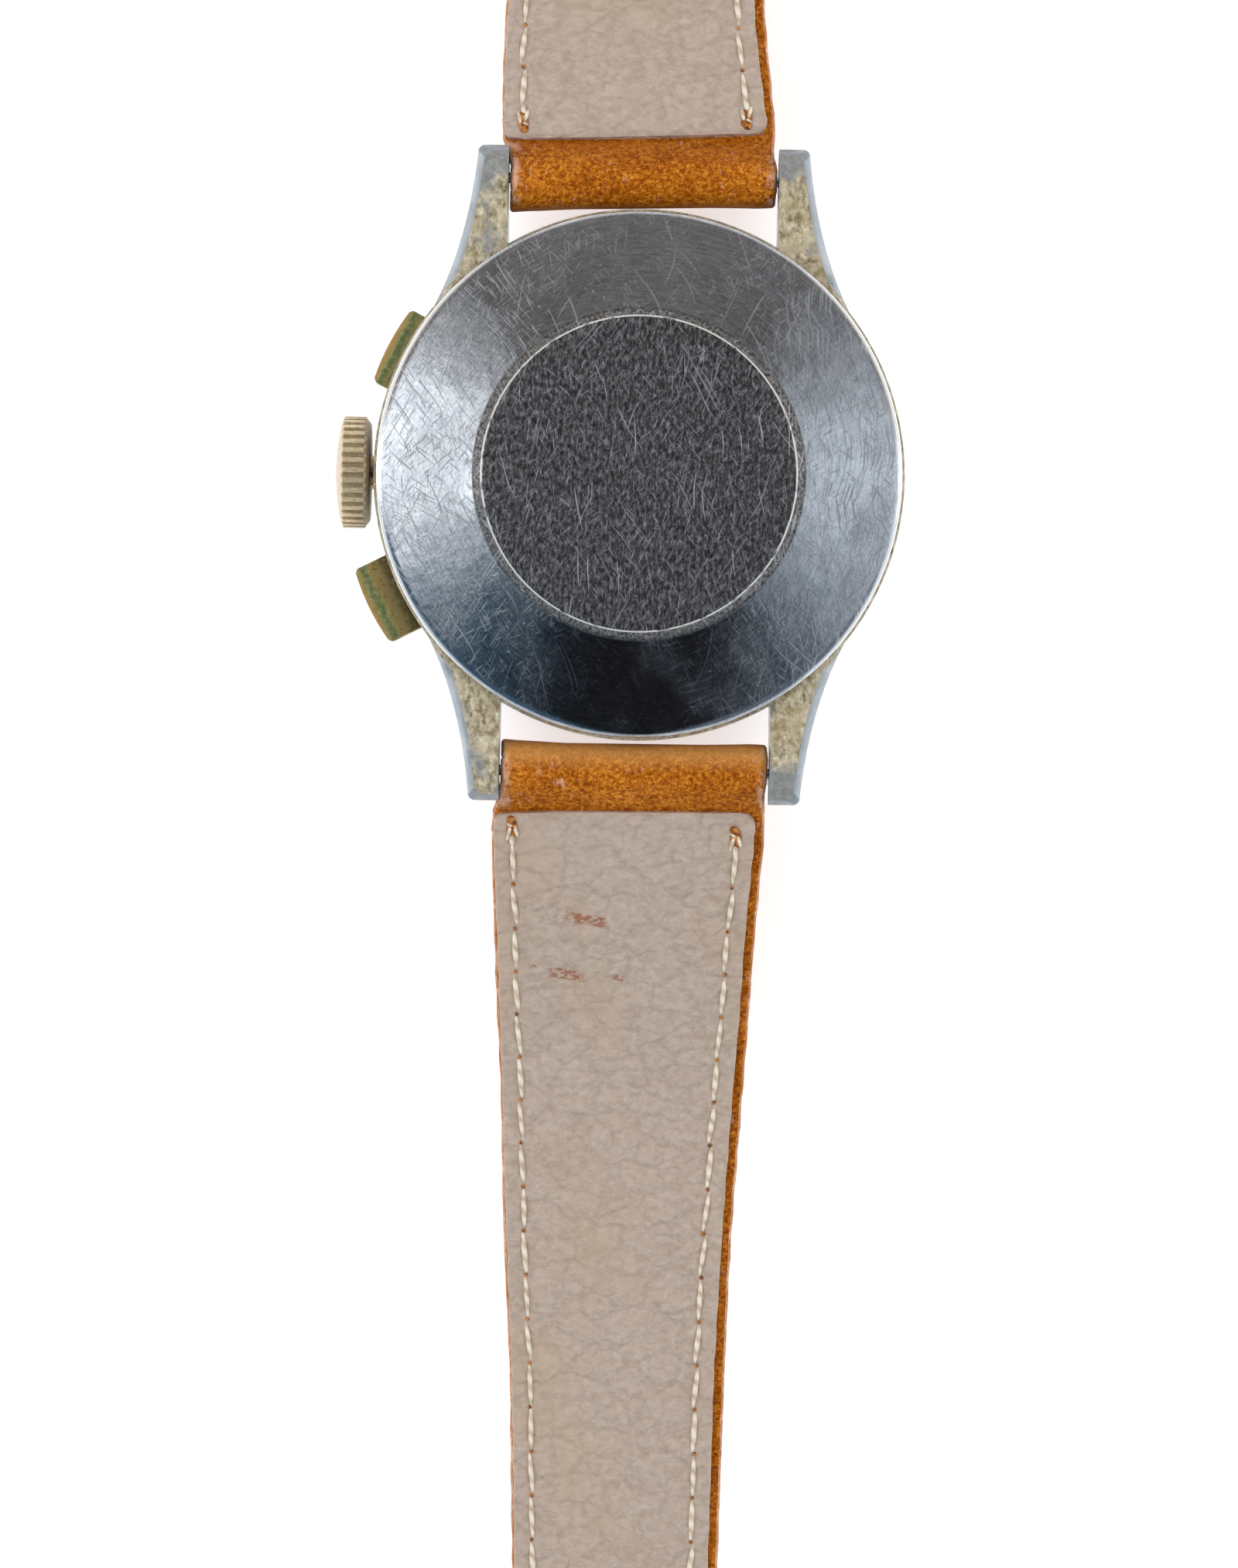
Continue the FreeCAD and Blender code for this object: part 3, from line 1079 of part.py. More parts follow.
def to_six(shape):
    """Turn a strap piece round to the six o'clock side."""
    copy = shape.copy()
    copy.rotate(V(0, 0, 0), V(0, 0, 1), 180)
    return copy


short_flat_z = apex_z + keeper_t + keeper_gap + half_t
long_flat_z = apex_z + half_t
leather, lining, thread = strap_half(short_flat_z, short_end_y, 0, True)
save("upper_strap_leather", leather)
save("upper_strap_lining", lining)
save("upper_stitching", thread)
leather, lining, thread = strap_half(long_flat_z, long_end_y, 1, False)
save("lower_strap_leather", to_six(leather))
save("lower_strap_lining", to_six(lining))
save("lower_stitching", to_six(thread))


def strap_half_at(y):
    """Half width of the strap at a distance along it."""
    for (x0, y0), (x1, y1) in zip(strap_half_w, strap_half_w[1:]):
        if y0 <= y <= y1:
            return x0 + (x1 - x0) * (y - y0) / (y1 - y0)
    return strap_half_w[-1][0]


def keeper(y):
    """Leather loop round the short strap half."""
    width = strap_half_at(y) + keeper_side_gap
    low = apex_z
    top = short_flat_z + half_t + keeper_gap + keeper_t
    outer = Part.makeBox(2 * (width + keeper_t), keeper_w, top - low, V(-width - keeper_t, y - keeper_w / 2, low))
    edges = [e for e in outer.Edges if abs(e.tangentAt(e.FirstParameter).y) > 0.9]
    outer = outer.makeFillet(0.85, edges)
    hollow = Part.makeBox(2 * width, keeper_w + 2, top - low - 2 * keeper_t,
                          V(-width, y - keeper_w / 2 - 1, low + keeper_t))
    return outer.cut(hollow)


save("fixed_keeper", keeper(fixed_keeper_y))
save("free_keeper", keeper(free_keeper_y))

# ---------------------------------------------------------------- buckle
buckle_z = short_flat_z
frame_low = buckle_z - buckle_t / 2
frame_top = buckle_z + buckle_t / 2
outer_plan = [(-buckle_half_w, short_end_y - 1.6), (buckle_half_w, short_end_y - 1.6),
              (buckle_half_w, buckle_front_y - 2.6), (buckle_half_w - 2.2, buckle_front_y),
              (-buckle_half_w + 2.2, buckle_front_y), (-buckle_half_w, buckle_front_y - 2.6)]
inner_half = buckle_half_w - buckle_arm_w
inner_front = buckle_front_y - buckle_front_w
window = prism([(-inner_half, short_end_y - 5), (inner_half, short_end_y - 5), (inner_half, inner_front - 1.2),
                (inner_half - 1.0, inner_front), (-inner_half + 1.0, inner_front),
                (-inner_half, inner_front - 1.2)], -20, 5)
frame_body = prism(outer_plan, frame_low, frame_top).cut(window)
corner = [e for e in frame_body.Edges if abs(e.tangentAt(e.FirstParameter).z) < 0.1 and e.Length > 2.0]
frame_body = frame_body.makeFillet(0.35, corner)
bar = rod_x(buckle_bar_r, -buckle_half_w + 0.4, buckle_half_w - 0.4, short_end_y, buckle_z)
rest_notch = Part.makeBox(tongue_w + 0.3, 6.0, 1.2, V(-tongue_w / 2 - 0.15, inner_front - 0.5, frame_low - 0.7))
buckle_frame = one([frame_body, bar]).cut(rest_notch)
save("buckle_frame", buckle_frame)

tongue_root = rod_x(half_t, -tongue_w / 2, tongue_w / 2, short_end_y, buckle_z)
tongue_low = frame_low - 0.6
tongue_pts = [V(-tongue_w / 2, short_end_y, buckle_z - half_t), V(-tongue_w / 2, short_end_y + 1.4, tongue_low),
              V(-tongue_w / 2, buckle_front_y - 0.6, tongue_low),
              V(-tongue_w / 2, buckle_front_y + 0.1, tongue_low + 0.4),
              V(-tongue_w / 2, buckle_front_y - 0.2, tongue_low + tongue_t),
              V(-tongue_w / 2, short_end_y, buckle_z + 0.2)]
blade = Part.Face(Part.makePolygon(tongue_pts + [tongue_pts[0]])).extrude(V(tongue_w, 0, 0))
buckle_tongue = one([tongue_root, blade]).cut(rod_x(buckle_bar_r + loop_bore_gap, -5, 5, short_end_y, buckle_z))
save("buckle_tongue", buckle_tongue)
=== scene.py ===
"""Chronograph wristwatch lying on its crystal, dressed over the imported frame.

Every piece is in metres in the frame's own axes: +Z out of the case back, +Y to twelve o'clock, crown at -X.
Sizes in the classes below are millimetres.
"""

import json
import logging
import math
import random
from contextlib import contextmanager
from dataclasses import dataclass, field
from enum import Enum
from typing import Callable, Iterator, Optional, Sequence, Union

import bpy
from mathutils import Matrix, Vector


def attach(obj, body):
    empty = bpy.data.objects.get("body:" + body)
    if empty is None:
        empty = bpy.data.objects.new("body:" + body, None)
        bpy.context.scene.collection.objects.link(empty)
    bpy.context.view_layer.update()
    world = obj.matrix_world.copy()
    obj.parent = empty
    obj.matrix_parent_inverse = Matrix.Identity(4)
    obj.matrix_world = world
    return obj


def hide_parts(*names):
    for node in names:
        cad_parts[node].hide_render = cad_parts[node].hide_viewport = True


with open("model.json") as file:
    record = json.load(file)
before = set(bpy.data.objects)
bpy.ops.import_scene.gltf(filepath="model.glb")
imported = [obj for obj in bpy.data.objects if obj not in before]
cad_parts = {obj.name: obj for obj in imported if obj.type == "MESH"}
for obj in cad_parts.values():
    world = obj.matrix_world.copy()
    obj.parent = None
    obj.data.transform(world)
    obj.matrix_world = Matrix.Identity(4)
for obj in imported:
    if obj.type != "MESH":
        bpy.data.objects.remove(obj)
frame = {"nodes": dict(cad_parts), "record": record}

LOG = logging.getLogger("wristwatch")
MM = 0.001

Colour = tuple[float, float, float]
Point = tuple[float, float, float]
Piece = bpy.types.Object

SCRATCH_SWAY = 5.0  # how far a scratch's line wanders sideways, mm
SCRATCH_SOFT = 0.05  # width of a scratch's soft edge, in noise

READY: dict[str, bpy.types.Material] = {}


def tint(red: int, green: int, blue: int) -> Colour:
    """Linear colour from display values.

    Args:
        red: Display red, 0 to 255.
        green: Display green, 0 to 255.
        blue: Display blue, 0 to 255.

    Returns:
        The linear colour.
    """

    def linear(value: float) -> float:
        """Linear value of one display channel."""
        return value / 12.92 if value <= 0.04045 else ((value + 0.055) / 1.055) ** 2.4

    return (linear(red / 255), linear(green / 255), linear(blue / 255))


class Side(Enum):
    """Which strap half a piece belongs to."""

    TWELVE = 1
    SIX = -1


class Hand(Enum):
    """Hands on the dial, by CAD node."""

    HOUR = "hour_hand"
    MINUTE = "minute_hand"
    SECONDS = "running_seconds_hand"
    CHRONOGRAPH = "chronograph_hand"
    COUNTER = "minute_counter_hand"


# ------------------------------------------------------------------ shader graphs


class Signal:
    """One output of a shader node, which takes arithmetic."""

    def __init__(self, graph: "Graph", socket: bpy.types.NodeSocket) -> None:
        """Hold the output and its graph."""
        self.graph, self.socket = graph, socket

    def __add__(self, other: object) -> "Signal":
        """Sum."""
        return self.graph.maths("ADD", self, other)

    def __radd__(self, other: object) -> "Signal":
        """Sum with a number in front."""
        return self.graph.maths("ADD", other, self)

    def __sub__(self, other: object) -> "Signal":
        """Difference."""
        return self.graph.maths("SUBTRACT", self, other)

    def __rsub__(self, other: object) -> "Signal":
        """Difference from a number."""
        return self.graph.maths("SUBTRACT", other, self)

    def __mul__(self, other: object) -> "Signal":
        """Product."""
        return self.graph.maths("MULTIPLY", self, other)

    def __truediv__(self, other: object) -> "Signal":
        """Quotient."""
        return self.graph.maths("DIVIDE", self, other)

    def __abs__(self) -> "Signal":
        """Size without sign."""
        return self.graph.maths("ABSOLUTE", self)


class Graph:
    """Lays shader nodes for one material or world and wires them."""

    def __init__(self, name: str, world: bool = False) -> None:
        """Start an empty material or world.

        Args:
            name: Its name.
            world: Make a world.
        """
        self.holder = (bpy.data.worlds if world else bpy.data.materials).new(name)
        self.holder.use_nodes = True
        self.tree = self.holder.node_tree
        self.tree.nodes.clear()
        self.out = self.tree.nodes.new("ShaderNodeOutputWorld" if world else "ShaderNodeOutputMaterial")
        self.coords = self.tree.nodes.new("ShaderNodeTexCoord")

    def node(self, kind: str, inputs: Sequence = (), out: Union[int, str] = 0, **settings: object) -> Signal:
        """Add a node.

        Args:
            kind: The node's type name.
            inputs: (index or name, value or signal) pairs.
            out: The output wanted.
            settings: Attributes to set on the node.

        Returns:
            The node's output.
        """
        made = self.tree.nodes.new(kind)
        for key, value in settings.items():
            setattr(made, key, value)
        for key, value in inputs:
            self.feed(made.inputs[key], value)
        return Signal(self, made.outputs[out])

    def feed(self, socket: bpy.types.NodeSocket, value: object) -> None:
        """Link a signal into an input, or set its value.

        Args:
            socket: The input.
            value: A signal, number, vector or colour.
        """
        if isinstance(value, Signal):
            self.tree.links.new(value.socket, socket)
        elif isinstance(value, tuple) and len(value) == 3 and socket.type == "RGBA":
            socket.default_value = (*value, 1.0)
        else:
            socket.default_value = value

    def source(self, name: str) -> Signal:
        """One output of the coordinates node."""
        return Signal(self, self.coords.outputs[name])

    def place(self, per_mm: Union[float, Point] = 1, turn: Point = (0, 0, 0), shift: Point = (0, 0, 0)) -> Signal:
        """Object coordinates, scaled to pattern units.

        Args:
            per_mm: Pattern units to the millimetre, alike or on each axis.
            turn: Turn in degrees, before scaling.
            shift: Shift in millimetres, before the turn.

        Returns:
            The vector.
        """
        back = tuple(-s * MM for s in shift)
        scale = tuple(s / MM for s in (per_mm if isinstance(per_mm, tuple) else (per_mm,) * 3))
        moved = self.node("ShaderNodeVectorMath", [(0, self.source("Object")), (1, back)], operation="ADD")
        turned_by = self.node("ShaderNodeMapping", [("Vector", moved), ("Rotation", tuple(map(math.radians, turn)))])
        return self.node("ShaderNodeVectorMath", [(0, turned_by), (1, scale)], operation="MULTIPLY")

    def noise(self, where: Union[Signal, float, Point], detail: float = 3.0, rough: float = 0.5,
              warp: float = 0.0) -> Signal:
        """Noise value at placed coordinates or a scale, by octaves, the share each keeps, and distortion."""
        vector = where if isinstance(where, Signal) else self.place(where)
        return self.node("ShaderNodeTexNoise", [("Vector", vector), ("Scale", 1.0), ("Detail", detail),
                                                ("Roughness", rough), ("Distortion", warp)])

    def cells(self, vector: Signal, feature: str = "F1", even: float = 1.0) -> Signal:
        """Distance in a cell pattern on placed coordinates; even is how random the cells are, 0 to 1."""
        return self.node("ShaderNodeTexVoronoi", [("Vector", vector), ("Scale", 1.0), ("Randomness", even)],
                         "Distance", feature=feature)

    def maths(self, operation: str, first: object, second: object = 0.0, clamp: bool = False) -> Signal:
        """One step of arithmetic, by the Math node's operation."""
        return self.node("ShaderNodeMath", [(0, first), (1, second)], operation=operation, use_clamp=clamp)

    def step(self, value: Signal, low: float, high: float) -> Signal:
        """Smooth rise from 0 at low to 1 at high, or a fall where high is below low."""
        start, end, a, b = (low, high, 0.0, 1.0) if low < high else (high, low, 1.0, 0.0)
        return self.node("ShaderNodeMapRange", [("Value", value), ("From Min", start), ("From Max", end),
                                                ("To Min", a), ("To Max", b)], interpolation_type="SMOOTHSTEP")

    def spread(self, value: Signal, low: float, high: float) -> Signal:
        """Stretch a 0 to 1 value to low to high."""
        return self.node("ShaderNodeMapRange", [("Value", value), ("To Min", low), ("To Max", high)])

    def blend(self, share: object, first: object, second: object, way: str = "MIX") -> Signal:
        """Mix two colours by the second's share, in one of the Mix node's ways."""
        return self.node("ShaderNodeMix", [(0, share), (6, first), (7, second)], 2, data_type="RGBA", blend_type=way)

    def ramp(self, value: Signal, stops: Sequence[tuple[float, Colour]]) -> Signal:
        """Colour ramp.

        Args:
            value: The value, 0 to 1.
            stops: (position, linear colour) pairs.

        Returns:
            The colour.
        """
        made = self.node("ShaderNodeValToRGB", [(0, value)])
        bar = made.socket.node.color_ramp
        bar.elements[0].position, bar.elements[1].position = stops[0][0], stops[-1][0]
        bar.elements[0].color, bar.elements[1].color = (*stops[0][1], 1.0), (*stops[-1][1], 1.0)
        for place, colour in stops[1:-1]:
            bar.elements.new(place).color = (*colour, 1.0)
        return made

    def axes(self, vector: Signal) -> tuple[Signal, ...]:
        """The x, y and z of a vector."""
        made = self.node("ShaderNodeSeparateXYZ", [(0, vector)])
        return tuple(Signal(self, socket) for socket in made.socket.node.outputs)

    def length(self, vector: Signal) -> Signal:
        """Length of a vector."""
        return self.node("ShaderNodeVectorMath", [(0, vector)], "Value", operation="LENGTH")

    def facing(self) -> Signal:
        """The surface normal's z in the object's own axes."""
        return self.axes(self.source("Normal"))[2]

    def bump(self, height: Signal, depth_mm: float) -> Signal:
        """A normal bumped by a 0 to 1 height, whose full step is the depth in millimetres."""
        return self.node("ShaderNodeBump", [("Height", height), ("Distance", depth_mm * MM), ("Strength", 1.0)])

    def scratches(self, turn: float, wide: float, long: float, level: float, seed: float = 0.0) -> Signal:
        """Short hairline scratches that run near one direction and curve a little.

        Args:
            turn: Direction in degrees from +Y.
            wide: Spacing across in millimetres; a scratch is about a third of it wide.
            long: Spacing along in millimetres.
            level: Noise level above which a scratch shows.
            seed: Shift that sets one layer off from the next.

        Returns:
            A 0 to 1 value.
        """
        slow = self.noise(self.place((0.09, 0.09, 0), (0, 0, 0), (seed * 2.3, seed, 0)), 1.0)
        aside = (slow - 0.5) * (SCRATCH_SWAY / wide)
        at = self.place((1.0 / wide, 1.0 / long, 0.0), (0, 0, turn), (seed, seed * 1.7, 0))
        moved = self.node("ShaderNodeCombineXYZ", [(0, aside)])
        bent = self.node("ShaderNodeVectorMath", [(0, at), (1, moved)], operation="ADD")
        return self.step(self.noise(bent, 0.0, 0.0), level, level + SCRATCH_SOFT)

    def layered(self, *layers: tuple[float, ...]) -> Signal:
        """The highest of several scratch layers, each the arguments of scratches and a weight."""
        return self.either(*(self.scratches(*layer[:-1]) * layer[-1] for layer in layers))

    def either(self, *masks: Signal) -> Signal:
        """The highest of several masks."""
        top = masks[0]
        for mask in masks[1:]:
            top = self.maths("MAXIMUM", top, mask)
        return top

    def finish(self, base: object, metallic: object, roughness: object, normal: Optional[Signal] = None,
               **constants: object) -> bpy.types.Material:
        """Close the graph with the surface shader.

        Args:
            base: Base colour or signal.
            metallic: Value or signal.
            roughness: Value or signal.
            normal: Bumped normal.
            constants: Further inputs, by the socket's name with _ for a space.

        Returns:
            The material.
        """
        inputs = [("Base Color", base), ("Metallic", metallic), ("Roughness", roughness)]
        inputs += [(key.replace("_", " "), value) for key, value in constants.items()]
        if normal is not None:
            inputs.append(("Normal", normal))
        self.feed(self.out.inputs[0], self.node("ShaderNodeBsdfPrincipled", inputs))
        return self.holder


@dataclass(frozen=True)
class Finish:
    """A finish that builds its material once."""

    name: str

    def build(self) -> bpy.types.Material:
        """Build the material; each finish has its own."""
        raise NotImplementedError

    def material(self) -> bpy.types.Material:
        """The finish's material, built the first time."""
        if self.name not in READY:
            READY[self.name] = self.build()
        return READY[self.name]


@dataclass(frozen=True)
class ScratchedBack(Finish):
    """Polished steel annulus round a satin disc, both scratched by wear, with a painted highlight on the disc's edge,
    painted reflections on the rim's sides and a step toned partly as grime and partly as painted shade.
    """

    disc_r: float = 11.25
    foot_r: float = 11.85

    def build(self) -> bpy.types.Material:
        """Build the steel, zoned by distance from the middle."""
        g = Graph(self.name)
        radius = g.length(g.place((1, 1, 0)))
        on_disc = g.step(radius, self.disc_r + 0.02, self.disc_r - 0.02)
        # painted highlight: a bright line round the disc's edge, where its bevel catches the side light
        painted_edge_highlight = (g.step(radius, self.disc_r - 0.09, self.disc_r - 0.05) *
                   g.step(radius, self.disc_r + 0.05, self.disc_r + 0.01))
        in_step = (g.step(radius, self.disc_r + 0.02, self.disc_r + 0.08) *
                   g.step(radius, self.foot_r + 0.12, self.foot_r - 0.06))
        worn = g.noise((0.16, 0.16, 0), 2.0)
        worn_zone = g.step(worn, 0.4, 0.62)
        streaks = g.layered((3, 0.11, 1.6, 0.69, 3.0, 0.14), (-13, 0.11, 2.2, 0.73, 11.0, 0.22),
                            (16, 0.12, 2.8, 0.755, 29.0, 0.55), (-4, 0.12, 4.6, 0.76, 37.0, 0.8))
        nicks = g.layered((-38, 0.14, 1.6, 0.72, 41.0, 0.5), (52, 0.14, 1.2, 0.72, 53.0, 0.5),
                          (24, 0.15, 6.0, 0.745, 67.0, 0.6), (-29, 0.15, 7.5, 0.75, 83.0, 0.7))
        x, y, _ = g.axes(g.place())
        ring_at = [radius * 6.5, x / radius * 13.0, y / radius * 13.0]
        ring_vector = g.node("ShaderNodeCombineXYZ", list(enumerate(ring_at)))
        hatch = g.noise(ring_vector, 2.0, 0.65)
        hatch_lines = g.step(hatch, 0.6, 0.72)
        upright = (g.either(g.scratches(5, 0.12, 2.6, 0.65, 71.0), g.scratches(-6, 0.12, 3.8, 0.67, 97.0)) *
                   g.spread(g.step(x, 7.0, 13.0), 0.03, 0.5))
        slanted = (g.either(g.scratches(-44, 0.12, 2.4, 0.68, 61.0), g.scratches(30, 0.12, 2.0, 0.71, 91.0)) *
                   g.spread(g.step(x, -4.0, -11.0), 0.02, 0.3))
        polish = g.layered((48, 0.12, 1.4, 0.71, 7.0, 0.4), (-12, 0.12, 2.4, 0.7, 19.0, 0.4))
        specks = g.step(g.cells(g.place((1.5, 1.5, 0), shift=(7, 3, 0))), 0.12, 0.06)
        sparse = g.step(g.noise(g.place((0.8, 0.8, 0), shift=(9, 4, 0)), 1.0), 0.5, 0.56)
        specks = specks * sparse
        disc_marks = g.either(streaks, nicks * 0.7)
        rim_marks = g.either(polish * worn_zone, nicks * 0.6, upright, slanted, specks * 0.8,
                             hatch_lines * g.spread(worn_zone, 0.1, 0.32))
        foot = g.step(y, -8.0, -13.0) * g.step(abs(x), 12.0, 5.0)
        rim_marks = rim_marks * g.spread(foot, 1.0, 0.35)
        marks = disc_marks * on_disc + rim_marks * (1.0 - on_disc)
        grain = g.noise((5, 4, 0), 3.0, 0.7)
        disc_tone = g.ramp(g.noise(g.place((4.2, 1.8, 0), (0, 0, 4)), 4.0, 0.85),
                           [(0.38, (0.06, 0.056, 0.058)), (0.5, (0.215, 0.206, 0.21)), (0.62, (0.7, 0.68, 0.69))])
        patchy = g.noise(g.place((0.34, 0.3, 0), (0, 0, 20), (3, 3, 0)), 4.0, 0.6)
        tones = hatch * 0.4 + grain * 0.3
        steel_tone = g.ramp(tones + patchy * 0.3, [(0.4, (0.42, 0.45, 0.49)), (0.6, (0.72, 0.745, 0.77))])
        # the step's dark grey-brown tone is partly grime and partly painted shade of the sloped step
        step_tone = g.ramp(grain, [(0.38, (0.05, 0.048, 0.047)), (0.62, (0.3, 0.292, 0.282))])
        base = g.blend(on_disc, steel_tone, disc_tone)
        base = g.blend(in_step, base, step_tone)
        # painted reflection: a bright band on the rim's bevel at the left and right, where it faces the side lights
        painted_reflection_sides = g.step(abs(x / radius), 0.5, 0.9)
        base = g.blend(g.step(radius, 18.3, 18.42) * painted_reflection_sides, base, (0.93, 0.94, 0.95))
        base = g.blend(marks, base, (0.92, 0.93, 0.95))
        # gaps break up the painted highlight line at the disc's edge, then the line is painted in
        edge_highlight_gaps = g.step(g.noise(g.place((0.9, 0.9, 0), shift=(2, 5, 0)), 1.0), 0.36, 0.44)
        painted_edge_highlight = painted_edge_highlight * edge_highlight_gaps
        base = g.blend(painted_edge_highlight, base, (0.95, 0.94, 0.88))
        haze = g.spread(worn_zone, 0.07, 0.13)
        rough = haze * (1.0 - on_disc) + on_disc * 0.24
        rough = g.blend(in_step, rough, (0.4, 0.4, 0.4))
        rough = g.blend(g.either(marks, painted_edge_highlight), rough, (0.5, 0.5, 0.5))
        wavy = g.noise(g.place((0.55, 0.55, 0), shift=(5, 8, 0)), 3.0, 0.6)
        height = marks * -0.6 + hatch * 0.35
        height = height + wavy * 2.4 * (1.0 - on_disc)
        return g.finish(base, 1.0, rough, g.bump(height, 0.004))


@dataclass(frozen=True)
class WornChrome(Finish):
    """Chromed base metal, pitted to a mottled olive and beige on the back faces."""

    def build(self) -> bpy.types.Material:
        """Build the chrome with corrosion where the surface faces out of the back."""
        g = Graph(self.name)
        x, y, z = g.axes(g.place())
        along = abs(y)
        patch = g.noise((0.34, 0.26, 0.3), 4.0, 0.62)
        speck = g.noise(2.4, 5.0, 0.72)
        tip = g.step(along, 19.4, 23.4)
        level = g.spread(tip, 0.37, 0.56)
        eaten = g.step(patch * 0.75 + speck * 0.28 - level, 0.0, 0.12)
        faces = g.step(g.facing(), 0.8, 0.95)
        eaten = eaten * faces
        rim_r = g.length(g.place((1, 1, 0)))
        band = (g.step(rim_r, 18.62, 18.72) * g.step(rim_r, 19.25, 19.12) *
                (g.step(z, -2.5, -2.0) * g.step(g.facing(), 0.15, 0.35)))
        eaten = g.either(eaten, band * g.spread(g.step(speck, 0.4, 0.56), 0.55, 1.0))
        flecks = g.step(speck, 0.62, 0.72) * 0.5
        eaten = g.either(eaten, flecks * g.step(z, -3.4, -1.8))
        crust = g.ramp(g.noise((2.3, 1.6, 2.3), 5.0, 0.74),
                       [(0.33, tint(96, 82, 58)), (0.42, tint(144, 129, 100)), (0.5, tint(180, 166, 136)),
                        (0.58, tint(208, 196, 168)), (0.68, tint(240, 234, 216))])
        pale = g.step(g.noise(g.place((0.8, 0.5, 0.8), shift=(6, 2, 0)), 4.0, 0.7), 0.46, 0.6)
        crust = g.blend(pale * 0.55, crust, tint(224, 212, 182))
        hue = g.step(g.noise(g.place(0.5, shift=(4, 9, 0)), 3.0), 0.48, 0.62)
        crust = g.blend(hue * 0.42, crust, tint(160, 142, 92))
        inner = g.step(abs(x), 10.0, 9.4) * g.step(along, 19.0, 20.2)
        crust = g.blend(inner * 0.75, crust, tint(66, 48, 34))
        chrome = g.ramp(g.noise(0.6, 3.0),
                        [(0.3, (0.32, 0.35, 0.38)), (0.7, (0.46, 0.49, 0.52))])
        dulled = faces * 0.85
        chrome = g.blend(dulled, chrome, g.ramp(speck, [(0.35, (0.3, 0.3, 0.285)), (0.65, (0.5, 0.5, 0.475))]))
        base = g.blend(eaten, chrome, crust)
        metal = g.maths("SUBTRACT", g.spread(eaten, 1.0, 0.15), dulled * 0.5, True)
        rough = g.blend(eaten, g.ramp(patch, [(0.3, (0.2, 0.2, 0.2)), (0.7, (0.36, 0.36, 0.36))]), (0.75, 0.75, 0.75))
        rough = g.blend(dulled * (1.0 - eaten), rough, (0.48, 0.48, 0.48))
        height = eaten * g.noise(3, 5.0, 0.75)
        return g.finish(base, metal, rough, g.bump(height, 0.14))


@dataclass(frozen=True)
class WornBezel(Finish):
    """Chromed bezel, rubbed and lightly scratched."""

    def build(self) -> bpy.types.Material:
        """Build the chrome."""
        g = Graph(self.name)
        rub = g.noise(1.2, 4.0, 0.6)
        lines = g.either(g.scratches(15, 0.08, 1.6, 0.66, 7.0), g.scratches(-50, 0.08, 1.3, 0.68, 19.0))
        base = g.ramp(rub, [(0.3, (0.5, 0.51, 0.5)), (0.7, (0.66, 0.67, 0.67))])
        base = g.blend(lines * 0.5, base, (0.85, 0.85, 0.84))
        rough = g.spread(g.either(rub, lines), 0.12, 0.42)
        return g.finish(base, 1.0, rough, g.bump(lines, 0.004))


@dataclass(frozen=True)
class PusherBrass(Finish):
    """Brass with its plating gone: bands of verdigris, bare brass and brown along the cap."""

    turn: float = 153.0
    outer: float = 21.5
    patches: float = 0.0

    def build(self) -> bpy.types.Material:
        """Build the brass, banded by the distance along the pusher."""
        g = Graph(self.name)
        u = g.axes(g.place(1, (0, 0, -self.turn)))[0]
        ripple = (g.noise(1.3, 4.0, 0.6) - 0.5) * 0.75
        fine = (g.noise(4, 3.0, 0.7) - 0.5) * 0.35
        along = u + (ripple + fine)
        share = g.node("ShaderNodeMapRange", [("Value", along), ("From Min", self.outer - 2.8),
                                              ("From Max", self.outer + 0.05)])
        bands = g.ramp(share, [(0.0, tint(104, 88, 58)), (0.18, tint(136, 118, 74)), (0.34, tint(176, 156, 100)),
                               (0.5, tint(190, 162, 100)), (0.6, tint(146, 140, 88)), (0.7, tint(102, 120, 70)),
                               (0.82, tint(134, 138, 86)), (0.9, tint(168, 136, 80)), (1.0, tint(206, 148, 82))])
        speck = g.noise(3.4, 4.0, 0.75)
        mottled = g.blend(g.step(speck, 0.52, 0.66), bands, tint(176, 160, 118))
        mottled = g.blend(g.step(speck, 0.44, 0.34) * 0.6, mottled, tint(58, 48, 30))
        patch = (g.step(g.noise(g.place(0.9, shift=(3, 3, 3)), 4.0, 0.65), 0.46, 0.54) *
                 g.step(share, 0.62, 0.42))
        mottled = g.blend(patch * self.patches, mottled, tint(52, 66, 36))
        flat = g.step(abs(g.facing()), 0.55, 0.9)
        base = g.blend(flat, g.blend(0.5, mottled, tint(150, 118, 70)), mottled)
        green = g.step(share, 0.5, 0.6) * g.step(share, 0.84, 0.74)
        metal = g.spread(green, 0.85, 0.25)
        rough = g.spread(g.either(green, speck), 0.34, 0.62)
        return g.finish(base, metal, rough, g.bump(speck, 0.04))


